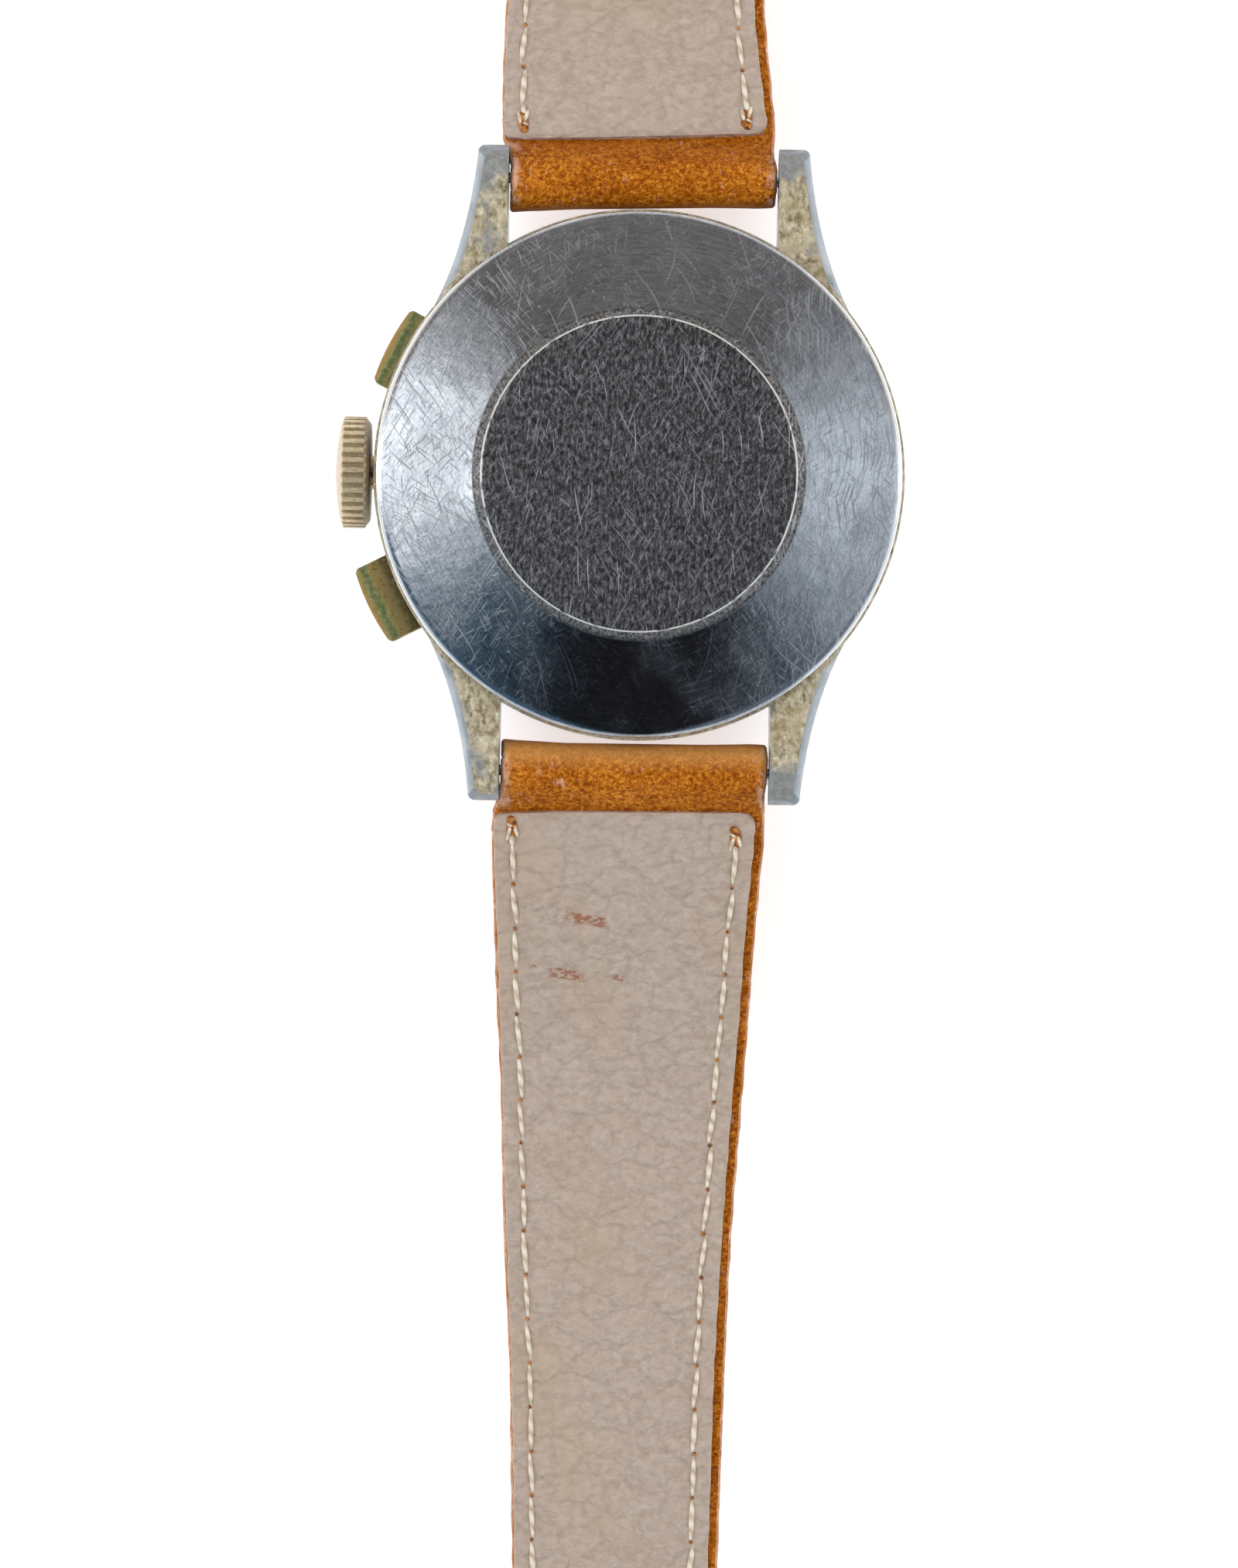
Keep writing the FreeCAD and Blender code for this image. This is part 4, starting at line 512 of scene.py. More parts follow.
@dataclass(frozen=True)
class CrownBrass(Finish):
    """Worn crown: brown brass, with painted shade dark in the flutes and painted highlights pale on the rims and
    ends.
    """

    radius: float = 4.0
    level: float = -5.6
    inner: float = -19.25
    knurl: float = -21.15

    def build(self) -> bpy.types.Material:
        """Build the brass, with painted shade that darkens it by depth below the crown's outside."""
        g = Graph(self.name)
        x = g.axes(g.place())[0]
        reach = g.length(g.place((0, 1, 1), shift=(0, 0, self.level)))
        groove = g.step(reach, self.radius - 0.03, self.radius - 0.14)
        on_knurl = g.step(x, self.knurl - 0.02, self.knurl + 0.06) * g.step(x, self.inner - 0.3, self.inner - 0.46)
        groove = groove * on_knurl
        speck = g.noise(3.2, 5.0, 0.75)
        streak = g.noise((1.2, 5, 5), 3.0, 0.6)
        skin = g.ramp(speck * 0.6 + streak * 0.4, [(0.32, tint(168, 146, 108)), (0.5, tint(212, 192, 154)),
                                                   (0.68, tint(244, 230, 202))])
        # painted shade: the flutes darkened by their depth below the crown's outside
        skin = g.blend(groove * 0.5, skin, tint(104, 84, 54))
        # painted highlight on the lobes' outer ends, where the bevelled ends catch light
        rim = g.step(x, self.knurl + 0.1, self.knurl - 0.02) * g.step(reach, self.radius - 0.75, self.radius - 0.5)
        skin = g.blend(rim * 0.5, skin, tint(214, 196, 158))
        # painted highlight: the domed end face made paler
        face = g.step(x, self.knurl - 0.12, self.knurl - 0.28)
        skin = g.blend(face * 0.85, skin, tint(214, 198, 186))
        # painted highlight on the knurl's inner end
        collar = g.step(x, self.inner - 0.42, self.inner - 0.3)
        skin = g.blend(collar * 0.7, skin, tint(206, 188, 152))
        rough = g.spread(g.either(groove, speck), 0.26, 0.52)
        return g.finish(skin, 0.6, rough, g.bump(speck, 0.03))


@dataclass(frozen=True)
class TanLeather(Finish):
    """Cognac leather with a fine mottled nap and pale scuffs; on the loops, painted light on the rolled edges and on
    the lower loop's case side, and painted shade on the upper loop beside the lining.
    """

    warm: Colour = tint(174, 94, 2)
    dark: Colour = tint(122, 56, 0)
    light: Colour = tint(224, 146, 50)

    def build(self) -> bpy.types.Material:
        """Build the leather."""
        g = Graph(self.name)
        nap = g.noise((3.1, 3.5, 3.1), 5.0, 0.85, 0.5)
        cloud = g.noise((0.22, 0.35, 0.5), 3.0, 0.55)
        mix = nap * 0.88 + cloud * 0.12
        base = g.ramp(mix, [(0.41, self.dark), (0.5, self.warm), (0.6, self.light)])
        worn = g.step(g.noise(g.place((0.3, 0.3, 0.4), shift=(1.5, 4, 0)), 2.0), 0.46, 0.62)
        scuff = g.step(g.noise(g.place((3.6, 0.9, 1.5), (0, 0, -9), (3, 1, 0)), 3.0, 0.65), 0.57, 0.7) * worn
        base = g.blend(scuff * 0.75, base, tint(222, 170, 142))
        x, y, _ = g.axes(g.place())
        rubbed = g.step(abs(x), 8.6, 9.25) * g.step(abs(y), 24.2, 23.4)
        frayed = rubbed * g.step(g.noise((1.6, 1.0, 1.2), 4.0, 0.7), 0.4, 0.58)
        base = g.blend(frayed * 0.8, base, tint(228, 184, 158))
        # painted light: the lower loop's side that faces the case made paler and less saturated, where light from
        # past the case falls on it
        painted_light_case_side = g.step(y, -21.4, -19.6) * g.step(y, 0.0, -1.0)
        base = g.blend(painted_light_case_side * g.spread(nap, 0.35, 0.75), base, tint(236, 172, 98))
        # painted shade: the upper loop darkened next to the lining's edge
        under = g.step(y, 21.6, 23.2) * g.step(y, 26.0, 24.6)
        base = g.blend(under * 0.3, base, self.dark)
        # painted light: the loops' case-side edges lightened where the surface turns away from the light
        painted_light_limb = g.step(g.facing(), 0.55, 0.15) * g.step(abs(y), 21.4, 20.6)
        base = g.blend(painted_light_limb * 0.65, base, tint(228, 150, 84))
        height = nap * 0.8 + scuff * 0.3
        return g.finish(base, 0.0, g.spread(nap, 0.5, 0.7), g.bump(height, 0.04), Specular_IOR_Level=0.14)


@dataclass(frozen=True)
class CutLeather(Finish):
    """Raw cut edge of the leather, pinkish and fibrous."""

    def build(self) -> bpy.types.Material:
        """Build the edge."""
        g = Graph(self.name)
        fibre = g.noise((2.6, 1.2, 3.2), 5.0, 0.78)
        base = g.ramp(fibre, [(0.34, tint(152, 98, 64)), (0.5, tint(200, 148, 114)), (0.66, tint(234, 200, 176))])
        rubbed = g.step(g.noise((0.3, 0.16, 0.4), 2.0), 0.5, 0.62)
        base = g.blend(rubbed * 0.55, base, tint(178, 104, 44))
        return g.finish(base, 0.0, 0.82, g.bump(fibre, 0.08), Specular_IOR_Level=0.2)


@dataclass(frozen=True)
class PigskinLining(Finish):
    """Taupe pigskin with soft creases, pores and a few rubbed red-brown marks, the creases darkened by painted shade.
    """

    def build(self) -> bpy.types.Material:
        """Build the lining."""
        g = Graph(self.name)
        soft = g.noise(g.place((0.42, 0.6, 0.5), (0, 0, 8)), 3.0, 0.5, 0.6)
        pushed = g.node("ShaderNodeVectorMath", [(0, g.place((0.34, 0.52, 0.4), (0, 0, -6))),
                                                 (1, g.node("ShaderNodeTexNoise",
                                                            [("Vector", g.place(0.5)), ("Scale", 1.0),
                                                             ("Detail", 3.0)], 1))], operation="ADD")
        crease = g.step(g.cells(pushed, "DISTANCE_TO_EDGE"), 0.0, 0.16)
        grain = g.noise((1.5, 1.9, 1.5), 5.0, 0.7, 0.4)
        pores = g.cells(g.place(1.1))
        base = g.ramp(grain, [(0.3, tint(170, 151, 136)), (0.52, tint(187, 169, 155)), (0.74, tint(201, 185, 172))])
        cloud = g.noise((0.12, 0.1, 0.1), 2.0)
        base = g.blend(g.step(cloud, 0.5, 0.66) * 0.35, base, tint(190, 166, 140))
        # painted shade: the creases darkened
        base = g.blend(g.step(crease, 0.4, 0.0) * 0.18, base, tint(140, 120, 104))
        x, y, _ = g.axes(g.place())
        for cx, cy, hw, hh in ((-3.3, -31.9, 1.6, 0.42), (-4.6, -35.9, 1.35, 0.42), (-0.9, -36.1, 0.42, 0.2),
                               (-7.0, -35.4, 0.24, 0.15)):
            dx = abs(x - cx) / hw
            slant = (x - cx) * -0.16
            dy = abs(y - cy - slant) / hh
            inside = g.step(g.either(dx, dy), 1.1, 0.7)
            ragged = g.step(g.noise(g.place((2.4, 3.6, 1), shift=(cx, 0, 0)), 4.0, 0.7), 0.4, 0.56)
            base = g.blend(inside * ragged * 0.85, base, tint(152, 92, 62))
        height = soft * 1.0 + grain * 0.22
        height = height + crease * 0.22
        height = height + g.step(pores, 0.0, 0.25) * 0.06
        return g.finish(base, 0.0, g.spread(grain, 0.5, 0.7), g.bump(height, 0.3), Specular_IOR_Level=0.3)


@dataclass(frozen=True)
class Thread(Finish):
    """Cream thread of two twisted plies."""

    def build(self) -> bpy.types.Material:
        """Build the thread, its plies as slanted bands."""
        g = Graph(self.name)
        bands = g.node("ShaderNodeTexWave", [("Vector", g.place((1.0, 1.4, 1.0), (0, 0, 38))), ("Scale", 0.26),
                                             ("Distortion", 1.6), ("Detail", 2.0)], "Fac", wave_type="BANDS",
                       bands_direction="Y")
        fuzz = g.noise((4, 2, 4), 5.0, 0.75)
        base = g.ramp(bands * 0.3 + fuzz * 0.7, [(0.3, tint(190, 172, 146)), (0.5, tint(228, 214, 192)),
                                                 (0.72, tint(246, 236, 220))])
        return g.finish(base, 0.0, 0.85, g.bump(bands + fuzz, 0.03), Specular_IOR_Level=0.25)


@dataclass(frozen=True)
class NeedleHole(Finish):
    """Tan leather that shows in the needle holes, its dark flecks partly painted shade in the holes."""

    def build(self) -> bpy.types.Material:
        """Build the dark tan."""
        g = Graph(self.name)
        fleck = g.noise(2.6, 4.0, 0.75)
        # dark tan at the stitch gaps: partly the leather beneath, partly painted shade in the holes
        base = g.ramp(fleck, [(0.38, tint(84, 48, 18)), (0.5, tint(168, 100, 36)), (0.62, tint(216, 150, 84))])
        return g.finish(base, 0.0, 0.85, g.bump(fleck, 0.05))


@dataclass(frozen=True)
class FineSteel(Finish):
    """Bright steel with a straight or round grain."""

    colour: Colour = (0.62, 0.63, 0.64)
    stretch: Point = (0.6, 12.0, 6.0)
    roughness: float = 0.26

    def build(self) -> bpy.types.Material:
        """Build the steel."""
        g = Graph(self.name)
        grain = g.noise(self.stretch, 3.0, 0.6)
        smear = g.noise(0.9, 3.0)
        deep = tuple(c * 0.82 for c in self.colour)
        base = g.ramp(grain, [(0.3, deep), (0.7, self.colour)])
        rough = g.spread(smear, self.roughness * 0.75, self.roughness * 1.35)
        return g.finish(base, 1.0, rough, g.bump(grain, 0.004))


@dataclass(frozen=True)
class StripedNickel(Finish):
    """Nickel-plated bridge with broad parallel stripes."""

    pitch: float = 1.6
    turn: float = 20.0

    def build(self) -> bpy.types.Material:
        """Build the nickel."""
        g = Graph(self.name)
        stripe = g.maths("FRACT", g.axes(g.place((1.0 / self.pitch, 12, 1), (0, 0, self.turn)))[0])
        lines = g.noise(g.place((22, 0.8, 4), (0, 0, self.turn)), 2.0, 0.6)
        fleck = g.noise(4, 3.0)
        base = g.ramp(fleck, [(0.3, (0.58, 0.56, 0.52)), (0.7, (0.72, 0.7, 0.66))])
        rough = g.spread(stripe * 0.6 + lines * 0.4, 0.18, 0.42)
        return g.finish(base, 1.0, rough, g.bump(stripe + lines * 0.3, 0.02))


@dataclass(frozen=True)
class GrainedPlate(Finish):
    """Main plate, circular graining in overlapping spots."""

    def build(self) -> bpy.types.Material:
        """Build the graining."""
        g = Graph(self.name)
        spots = g.cells(g.place((0.9, 0.9, 0.0)), "F1", 0.15)
        rings = g.maths("FRACT", spots * 7.0)
        fleck = g.noise(5, 3.0)
        base = g.ramp(fleck, [(0.3, (0.54, 0.53, 0.5)), (0.7, (0.68, 0.66, 0.62))])
        rough = g.spread(rings, 0.22, 0.38)
        return g.finish(base, 1.0, rough, g.bump(rings, 0.006))


@dataclass(frozen=True)
class GiltWheel(Finish):
    """Gilt brass wheel with faint circular graining."""

    def build(self) -> bpy.types.Material:
        """Build the gilt."""
        g = Graph(self.name)
        fleck = g.noise(6, 4.0, 0.6)
        base = g.ramp(fleck, [(0.3, (0.62, 0.44, 0.18)), (0.7, (0.82, 0.62, 0.3))])
        return g.finish(base, 1.0, g.spread(fleck, 0.2, 0.34), g.bump(fleck, 0.004))


@dataclass(frozen=True)
class BluedSteel(Finish):
    """Heat-blued steel."""

    def build(self) -> bpy.types.Material:
        """Build the blue."""
        g = Graph(self.name)
        heat = g.noise(0.7, 2.0)
        base = g.ramp(heat, [(0.3, (0.02, 0.035, 0.16)), (0.7, (0.04, 0.08, 0.3))])
        return g.finish(base, 0.9, g.spread(g.noise(5, 3.0), 0.16, 0.28))


@dataclass(frozen=True)
class DialLacquer(Finish):
    """Cream dial lacquer, aged towards the rim, with turned rings in the registers."""

    register_x: float = 6.6
    register_r: float = 4.1

    def build(self) -> bpy.types.Material:
        """Build the lacquer."""
        g = Graph(self.name)
        radius = g.length(g.place((1, 1, 0)))
        fleck = g.noise(3, 4.0, 0.6)
        aged = g.step(radius, 9.0, 15.2)
        base = g.blend(aged * g.spread(fleck, 0.3, 0.9), tint(232, 222, 196), tint(206, 184, 140))
        spots = g.step(g.noise(g.place(1.4, shift=(3, 8, 0)), 5.0, 0.75), 0.66, 0.74)
        base = g.blend(spots * 0.4, base, tint(150, 118, 70))
        rings = 0.0
        for side in (-1, 1):
            spot = g.length(g.place((1, 1, 0), shift=(side * self.register_x, 0, 0)))
            within = g.step(spot, self.register_r, self.register_r - 0.05)
            turned_lines = g.maths("FRACT", spot * 5.0) * within
            rings = rings + turned_lines
            base = g.blend(within * 0.35, base, tint(214, 204, 180))
        return g.finish(base, 0.0, g.spread(fleck, 0.32, 0.46), g.bump(rings, 0.01), Specular_IOR_Level=0.5)


@dataclass(frozen=True)
class PrintedInk(Finish):
    """Brown-black dial printing."""

    def build(self) -> bpy.types.Material:
        """Build the ink."""
        g = Graph(self.name)
        fleck = g.noise(8, 3.0)
        base = g.ramp(fleck, [(0.3, tint(30, 24, 20)), (0.7, tint(52, 42, 34))])
        return g.finish(base, 0.0, 0.5)


@dataclass(frozen=True)
class Acrylic(Finish):
    """Clear acrylic, lightly hazed by hairlines."""

    def build(self) -> bpy.types.Material:
        """Build the acrylic."""
        g = Graph(self.name)
        lines = g.either(g.scratches(20, 0.06, 1.5, 0.7, 5.0), g.scratches(-45, 0.06, 1.2, 0.71, 17.0))
        rough = g.spread(lines, 0.02, 0.22)
        return g.finish((0.97, 0.975, 0.965), 0.0, rough, None, Transmission_Weight=1.0, IOR=1.49)


@dataclass(frozen=True)
class PaleFloor(Finish):
    """Plain white sweep, lit from within like a light table."""

    glow: float = 0.45

    def build(self) -> bpy.types.Material:
        """Build the floor."""
        g = Graph(self.name)
        return g.finish((0.94, 0.94, 0.94), 0.0, 0.9, None, Specular_IOR_Level=0.0, Emission_Color=(1.0, 1.0, 1.0),
                        Emission_Strength=self.glow)


# ------------------------------------------------------------------ modelling helpers


def clear_selection() -> None:
    """Leave edit mode and deselect everything."""
    if bpy.context.mode != "OBJECT":
        bpy.ops.object.mode_set(mode="OBJECT")
    bpy.ops.object.select_all(action="DESELECT")


def pick(piece: Piece) -> None:
    """Select one object alone and make it active."""
    clear_selection()
    piece.select_set(True)
    bpy.context.view_layer.objects.active = piece


def fresh(name: str) -> Piece:
    """Name the object that an operator has just added."""
    piece = bpy.context.active_object
    piece.name = name
    piece.data.name = name
    return piece


def settle(piece: Piece) -> None:
    """Put an object's place, turn and size into its mesh."""
    pick(piece)
    bpy.ops.object.transform_apply(location=True, rotation=True, scale=True)


def apply_all(piece: Piece) -> None:
    """Apply an object's modifiers in order."""
    pick(piece)
    for modifier in list(piece.modifiers):
        bpy.ops.object.modifier_apply(modifier=modifier.name)


@contextmanager
def editing(piece: Piece) -> Iterator[None]:
    """Edit one object's mesh, all of it selected at first, and leave edit mode after."""
    pick(piece)
    bpy.ops.object.mode_set(mode="EDIT")
    bpy.ops.mesh.select_all(action="SELECT")
    yield
    bpy.ops.object.mode_set(mode="OBJECT")


def tidy_mesh(piece: Piece, merge_mm: float = 0.0005) -> None:
    """Merge doubles and turn all faces outwards.

    Args:
        piece: The mesh object.
        merge_mm: Points this near become one.
    """
    with editing(piece):
        bpy.ops.mesh.remove_doubles(threshold=merge_mm * MM)
        bpy.ops.mesh.normals_make_consistent(inside=False)
    mesh = piece.data
    mesh.calc_loop_triangles()
    corners = ([mesh.vertices[i].co for i in triangle.vertices] for triangle in mesh.loop_triangles)
    if sum(a.dot(b.cross(c)) for a, b, c in corners) < 0:
        with editing(piece):
            bpy.ops.mesh.flip_normals()


def soften(piece: Piece, width: float, segments: int = 2, above: float = 25.0,
           smooth: float = 32.0) -> None:
    """Round the sharp edges and smooth the shading.

    Args:
        piece: The mesh object.
        width: Bevel width in millimetres; 0 leaves the edges.
        segments: Bevel steps.
        above: Edges sharper than this many degrees are rounded.
        smooth: Edges sharper than this many degrees stay sharp in shading.
    """
    pick(piece)
    if width > 0:
        modifier = piece.modifiers.new("rounding", "BEVEL")
        modifier.width = width * MM
        modifier.segments = segments
        modifier.limit_method = "ANGLE"
        modifier.angle_limit = math.radians(above)
        modifier.miter_outer = "MITER_ARC"
        apply_all(piece)
    pick(piece)
    bpy.ops.object.shade_smooth_by_angle(angle=math.radians(smooth))


def coat(piece: Piece, *finishes: Finish) -> None:
    """Give a piece its materials in order."""
    piece.data.materials.clear()
    for finish in finishes:
        piece.data.materials.append(finish.material())


def dress_node(node: str, finish: Finish) -> None:
    """Give a CAD node a better material in every slot."""
    mesh = frame["nodes"][node].data
    for index in range(max(1, len(mesh.materials))):
        if index < len(mesh.materials):
            mesh.materials[index] = finish.material()
        else:
            mesh.materials.append(finish.material())


def body_with(node: str) -> str:
    """The body that a CAD node belongs to."""
    bodies = frame["record"]["behaviour"]["bodies"]
    return next(name for name, members in bodies.items() if node in members)


def stand_for(piece: Piece, node: str) -> None:
    """Ride on a node's body and hide the node, which the piece replaces."""
    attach(piece, body_with(node))
    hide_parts(node)
    LOG.info("%s stands for %s", piece.name, node)


def go_with(piece: Piece, node: str) -> None:
    """Ride on a node's body as an added detail.

    Args:
        piece: The added piece.
        node: The node it goes with.
    """
    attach(piece, body_with(node))
    LOG.info("%s rides with %s", piece.name, node)


def turned(name: str, profile: Sequence[tuple[float, float]], segments: int) -> Piece:
    """Turn a profile about the Z axis: a ring is added and extruded from corner to corner.

    Args:
        name: The piece's name.
        profile: (radius, level) corners; radius 0 is a pole, and a last corner equal to the first closes a ring.
        segments: Points round the ring.

    Returns:
        The piece.
    """
    clear_selection()
    corners = [(max(r, 1e-4), z) for r, z in profile]
    radius, level = corners[0]
    bpy.ops.mesh.primitive_circle_add(vertices=segments, radius=radius * MM, fill_type="NOTHING",
                                      location=(0, 0, level * MM))
    piece = fresh(name)
    settle(piece)
    with editing(piece):
        for next_r, next_z in corners[1:]:
            bpy.ops.mesh.extrude_region_move(TRANSFORM_OT_translate={"value": (0, 0, (next_z - level) * MM)})
            share = next_r / radius
            bpy.ops.transform.resize(value=(share, share, 1), center_override=(0, 0, next_z * MM))
            radius, level = next_r, next_z
    tidy_mesh(piece)
    soften(piece, 0.0)
    return piece


def arc_profile(r0: float, z0: float, z1: float, count: int) -> list[tuple[float, float]]:
    """Corners along a dome from a rim (r0, z0) to a pole on the axis at z1.

    Args:
        r0: Radius at the rim.
        z0: Level at the rim.
        z1: Level at the pole.
        count: Steps.

    Returns:
        The corners, both ends included.
    """
    sag = abs(z1 - z0)
    sphere = (r0 * r0 + sag * sag) / (2 * sag)
    middle = z1 + math.copysign(sphere, z0 - z1)
    reach = math.asin(r0 / sphere)
    points = []
    for i in range(count + 1):
        angle = reach * (1 - i / count)
        points.append((sphere * math.sin(angle), middle - math.copysign(sphere * math.cos(angle), z0 - z1)))
    points[-1] = (0, z1)
    return points


def refined(node: str, bevel: float = 0.05, segments: int = 2, above: float = 25.0,
            smooth: float = 32.0) -> Piece:
    """A copy of a CAD node with merged faces, rounded edges and smooth shading, standing for the node.

    Args:
        node: The CAD node.
        bevel: Edge rounding in millimetres.
        segments: Steps in the rounding.
        above: Edges sharper than this many degrees are rounded.
        smooth: Edges sharper than this many degrees stay sharp in shading.

    Returns:
        The piece.
    """
    clear_selection()
    piece = bpy.data.objects.new(node + "_finished", frame["nodes"][node].data.copy())
    bpy.context.scene.collection.objects.link(piece)
    pick(piece)
    bpy.ops.mesh.customdata_custom_splitnormals_clear()
    with editing(piece):
        bpy.ops.mesh.remove_doubles(threshold=0.002 * MM)
        bpy.ops.mesh.dissolve_limited(angle_limit=math.radians(0.4))
    soften(piece, bevel, segments, above, smooth)
    stand_for(piece, node)
    return piece


def joined(name: str, pieces: Sequence[Piece]) -> Piece:
    """Join pieces into one.

    Args:
        name: The joined piece's name.
        pieces: The pieces; the first keeps its place.

    Returns:
        The joined piece.
    """
    clear_selection()
    for piece in pieces:
        piece.select_set(True)
    bpy.context.view_layer.objects.active = pieces[0]
    if len(pieces) > 1:
        bpy.ops.object.join()
    return fresh(name)


def copy_of(master: Piece, where: Matrix) -> Piece:
    """A copy of a piece with its own mesh, put in place.

    Args:
        master: The piece to copy.
        where: Its place.

    Returns:
        The copy.
    """
    copy = bpy.data.objects.new(master.name, master.data.copy())
    bpy.context.scene.collection.objects.link(copy)
    copy.data.transform(where)
    return copy


def block(name: str, low: Point, high: Point, bevel: float = 0.0) -> Piece:
    """A box between two corners in millimetres, its edges rounded.

    Args:
        name: The piece's name.
        low: Lowest corner.
        high: Highest corner.
        bevel: Edge rounding in millimetres.

    Returns:
        The piece.
    """
    clear_selection()
    middle = tuple((a + b) / 2 * MM for a, b in zip(low, high))
    bpy.ops.mesh.primitive_cube_add(size=1.0, location=middle)
    piece = fresh(name)
    piece.scale = tuple((b - a) * MM for a, b in zip(low, high))
    settle(piece)
    if bevel:
        soften(piece, bevel, 2)
    return piece


def lettered(name: str, words: str, size: float, at: Point, turn: float = 0.0,
             depth: float = 0.02) -> Piece:
    """Plain numbers for the dial, read from the crystal's side.

    Args:
        name: The piece's name.
        words: The number.
        size: Height in millimetres.
        at: Middle of the number.
        turn: Turn in degrees, seen from the dial side.
        depth: Thickness in millimetres.

    Returns:
        The piece, as a mesh.
    """
    clear_selection()
    bpy.ops.object.text_add()
    piece = bpy.context.active_object
    piece.name = name
    piece.data.body = words
    piece.data.align_x = "CENTER"
    piece.data.align_y = "CENTER"
    piece.data.size = size * MM * 1.4
    piece.data.extrude = depth * MM / 2
    piece.data.resolution_u = 4
    bpy.ops.object.convert(target="MESH")
    piece = fresh(name)
    face_down = Matrix.Rotation(math.pi, 4, "Y") @ Matrix.Rotation(math.radians(turn), 4, "Z")
    piece.data.transform(Matrix.Translation(Vector(at) * MM) @ face_down)
    tidy_mesh(piece, 0.0001)
    return piece


# ------------------------------------------------------------------ case


@dataclass
class Case:
    """Case middle, back, bezel, crystal and the hardware that joins them."""

    back_disc_r: float = 11.25
    back_foot_r: float = 11.85
    back_step: float = 0.45
    annulus_drop: float = 0.325
    bevel_r: float = 18.25
    back_r: float = 18.75
    back_base: float = -1.6
    neck_r: float = 16.95
    plate_t: float = 0.75
    crystal_r: float = 16.3
    crystal_seat: float = -9.0
    crystal_shoulder: float = -10.8
    crystal_apex: float = -13.0
    crystal_wall: float = 0.8

    def build_back(self) -> None:
        """Turn the case back: disc, step, sloping annulus, polished rim."""
        foot = -self.back_step
        slope = self.annulus_drop / (self.bevel_r - self.back_foot_r)
        bevel = foot - self.annulus_drop
        inner = self.back_base + 0.41
        disc = self.back_disc_r
        profile = [(0, 0), (5.0, 0), (disc - 0.14, 0), (disc - 0.09, 0), (disc - 0.02, -0.03), (disc + 0.04, -0.10),
                   (self.back_foot_r - 0.18, foot + 0.05),
                   (self.back_foot_r, foot), (self.back_foot_r + 0.10, foot - 0.10 * slope),
                   (15.0, foot - (15.0 - self.back_foot_r) * slope), (self.bevel_r - 0.1, bevel + 0.1 * slope),
                   (self.bevel_r, bevel), (self.bevel_r + 0.20, bevel - 0.025), (self.bevel_r + 0.35, bevel - 0.07),
                   (self.back_r - 0.05, bevel - 0.145), (self.back_r, bevel - 0.245), (self.back_r, bevel - 0.30),
                   (self.back_r, self.back_base), (self.neck_r, self.back_base), (self.neck_r, inner),
                   (self.back_foot_r - 0.3, inner), (self.back_foot_r - 0.8, -self.plate_t), (0, -self.plate_t)]
        back = turned("steel_back", profile, 256)
        coat(back, ScratchedBack("scratched_back"))
        stand_for(back, "case_back")

    def build_middle(self) -> None:
        """Finish the case middle and the bezel."""
        middle = refined("case_middle", 0.12, 3, 28.0, 40.0)
        coat(middle, WornChrome("worn_chrome"))
        bezel = refined("bezel", 0.08, 2)
        coat(bezel, WornBezel("worn_bezel"))

    def build_crystal(self) -> None:
        """Turn the domed acrylic as a closed shell."""
        outside = [(self.crystal_r, self.crystal_seat), (self.crystal_r, self.crystal_shoulder + 0.25)]
        outside += arc_profile(self.crystal_r - 0.12, self.crystal_shoulder, self.crystal_apex, 28)
        inner_r = self.crystal_r - self.crystal_wall
        inside = arc_profile(inner_r, self.crystal_shoulder + 0.35, self.crystal_apex + 1.1, 22)[::-1]
        inside += [(inner_r, self.crystal_seat)]
        dome = turned("acrylic_dome", outside, 160)
        hollow = turned("acrylic_inside", inside, 160)
        shell = joined("domed_crystal", [dome, hollow])
        with editing(shell):
            bpy.ops.mesh.select_all(action="DESELECT")
            bpy.ops.mesh.select_non_manifold(extend=False)
            bpy.ops.mesh.bridge_edge_loops()
        tidy_mesh(shell)
        soften(shell, 0.0)
        coat(shell, Acrylic("clear_acrylic"))
        stand_for(shell, "crystal")

    def dress_hardware(self) -> None:
        """Dress the tubes, spring bars, clamps and screws."""
        steel = FineSteel("fine_steel")
        dress_node("case_tubes", FineSteel("tube_brass", (0.55, 0.42, 0.22), (3, 9, 9), 0.32))
        for node in ("spring_bars", "movement_clamps"):
            dress_node(node, steel)
        dress_node("movement_screws", BluedSteel("heat_blued"))

    def build(self) -> None:
        """Build the whole case."""
        self.build_back()
        self.build_middle()
        self.build_crystal()
        self.dress_hardware()


@dataclass
class Controls:
    """Crown, stem and the two pushers."""

    start_turn: float = 153.0
    reset_turn: float = 207.0
    out_r: float = 21.5
    travel: float = 1.25

    def build(self) -> None:
        """Finish the crown and the pushers."""
        crown = refined("crown", 0.04, 2, 30.0, 45.0)
        coat(crown, CrownBrass("crown_brass"))
        start = refined("start_pusher", 0.07, 2)
        coat(start, PusherBrass("start_brass", self.start_turn, self.out_r - self.travel, 0.75))
        reset = refined("reset_pusher", 0.07, 2)
        coat(reset, PusherBrass("reset_brass", self.reset_turn, self.out_r))
        steel = FineSteel("fine_steel")
        for node in ("winding_stem", "start_pusher_spring", "reset_pusher_spring"):
            dress_node(node, steel)


# ------------------------------------------------------------------ movement and dial


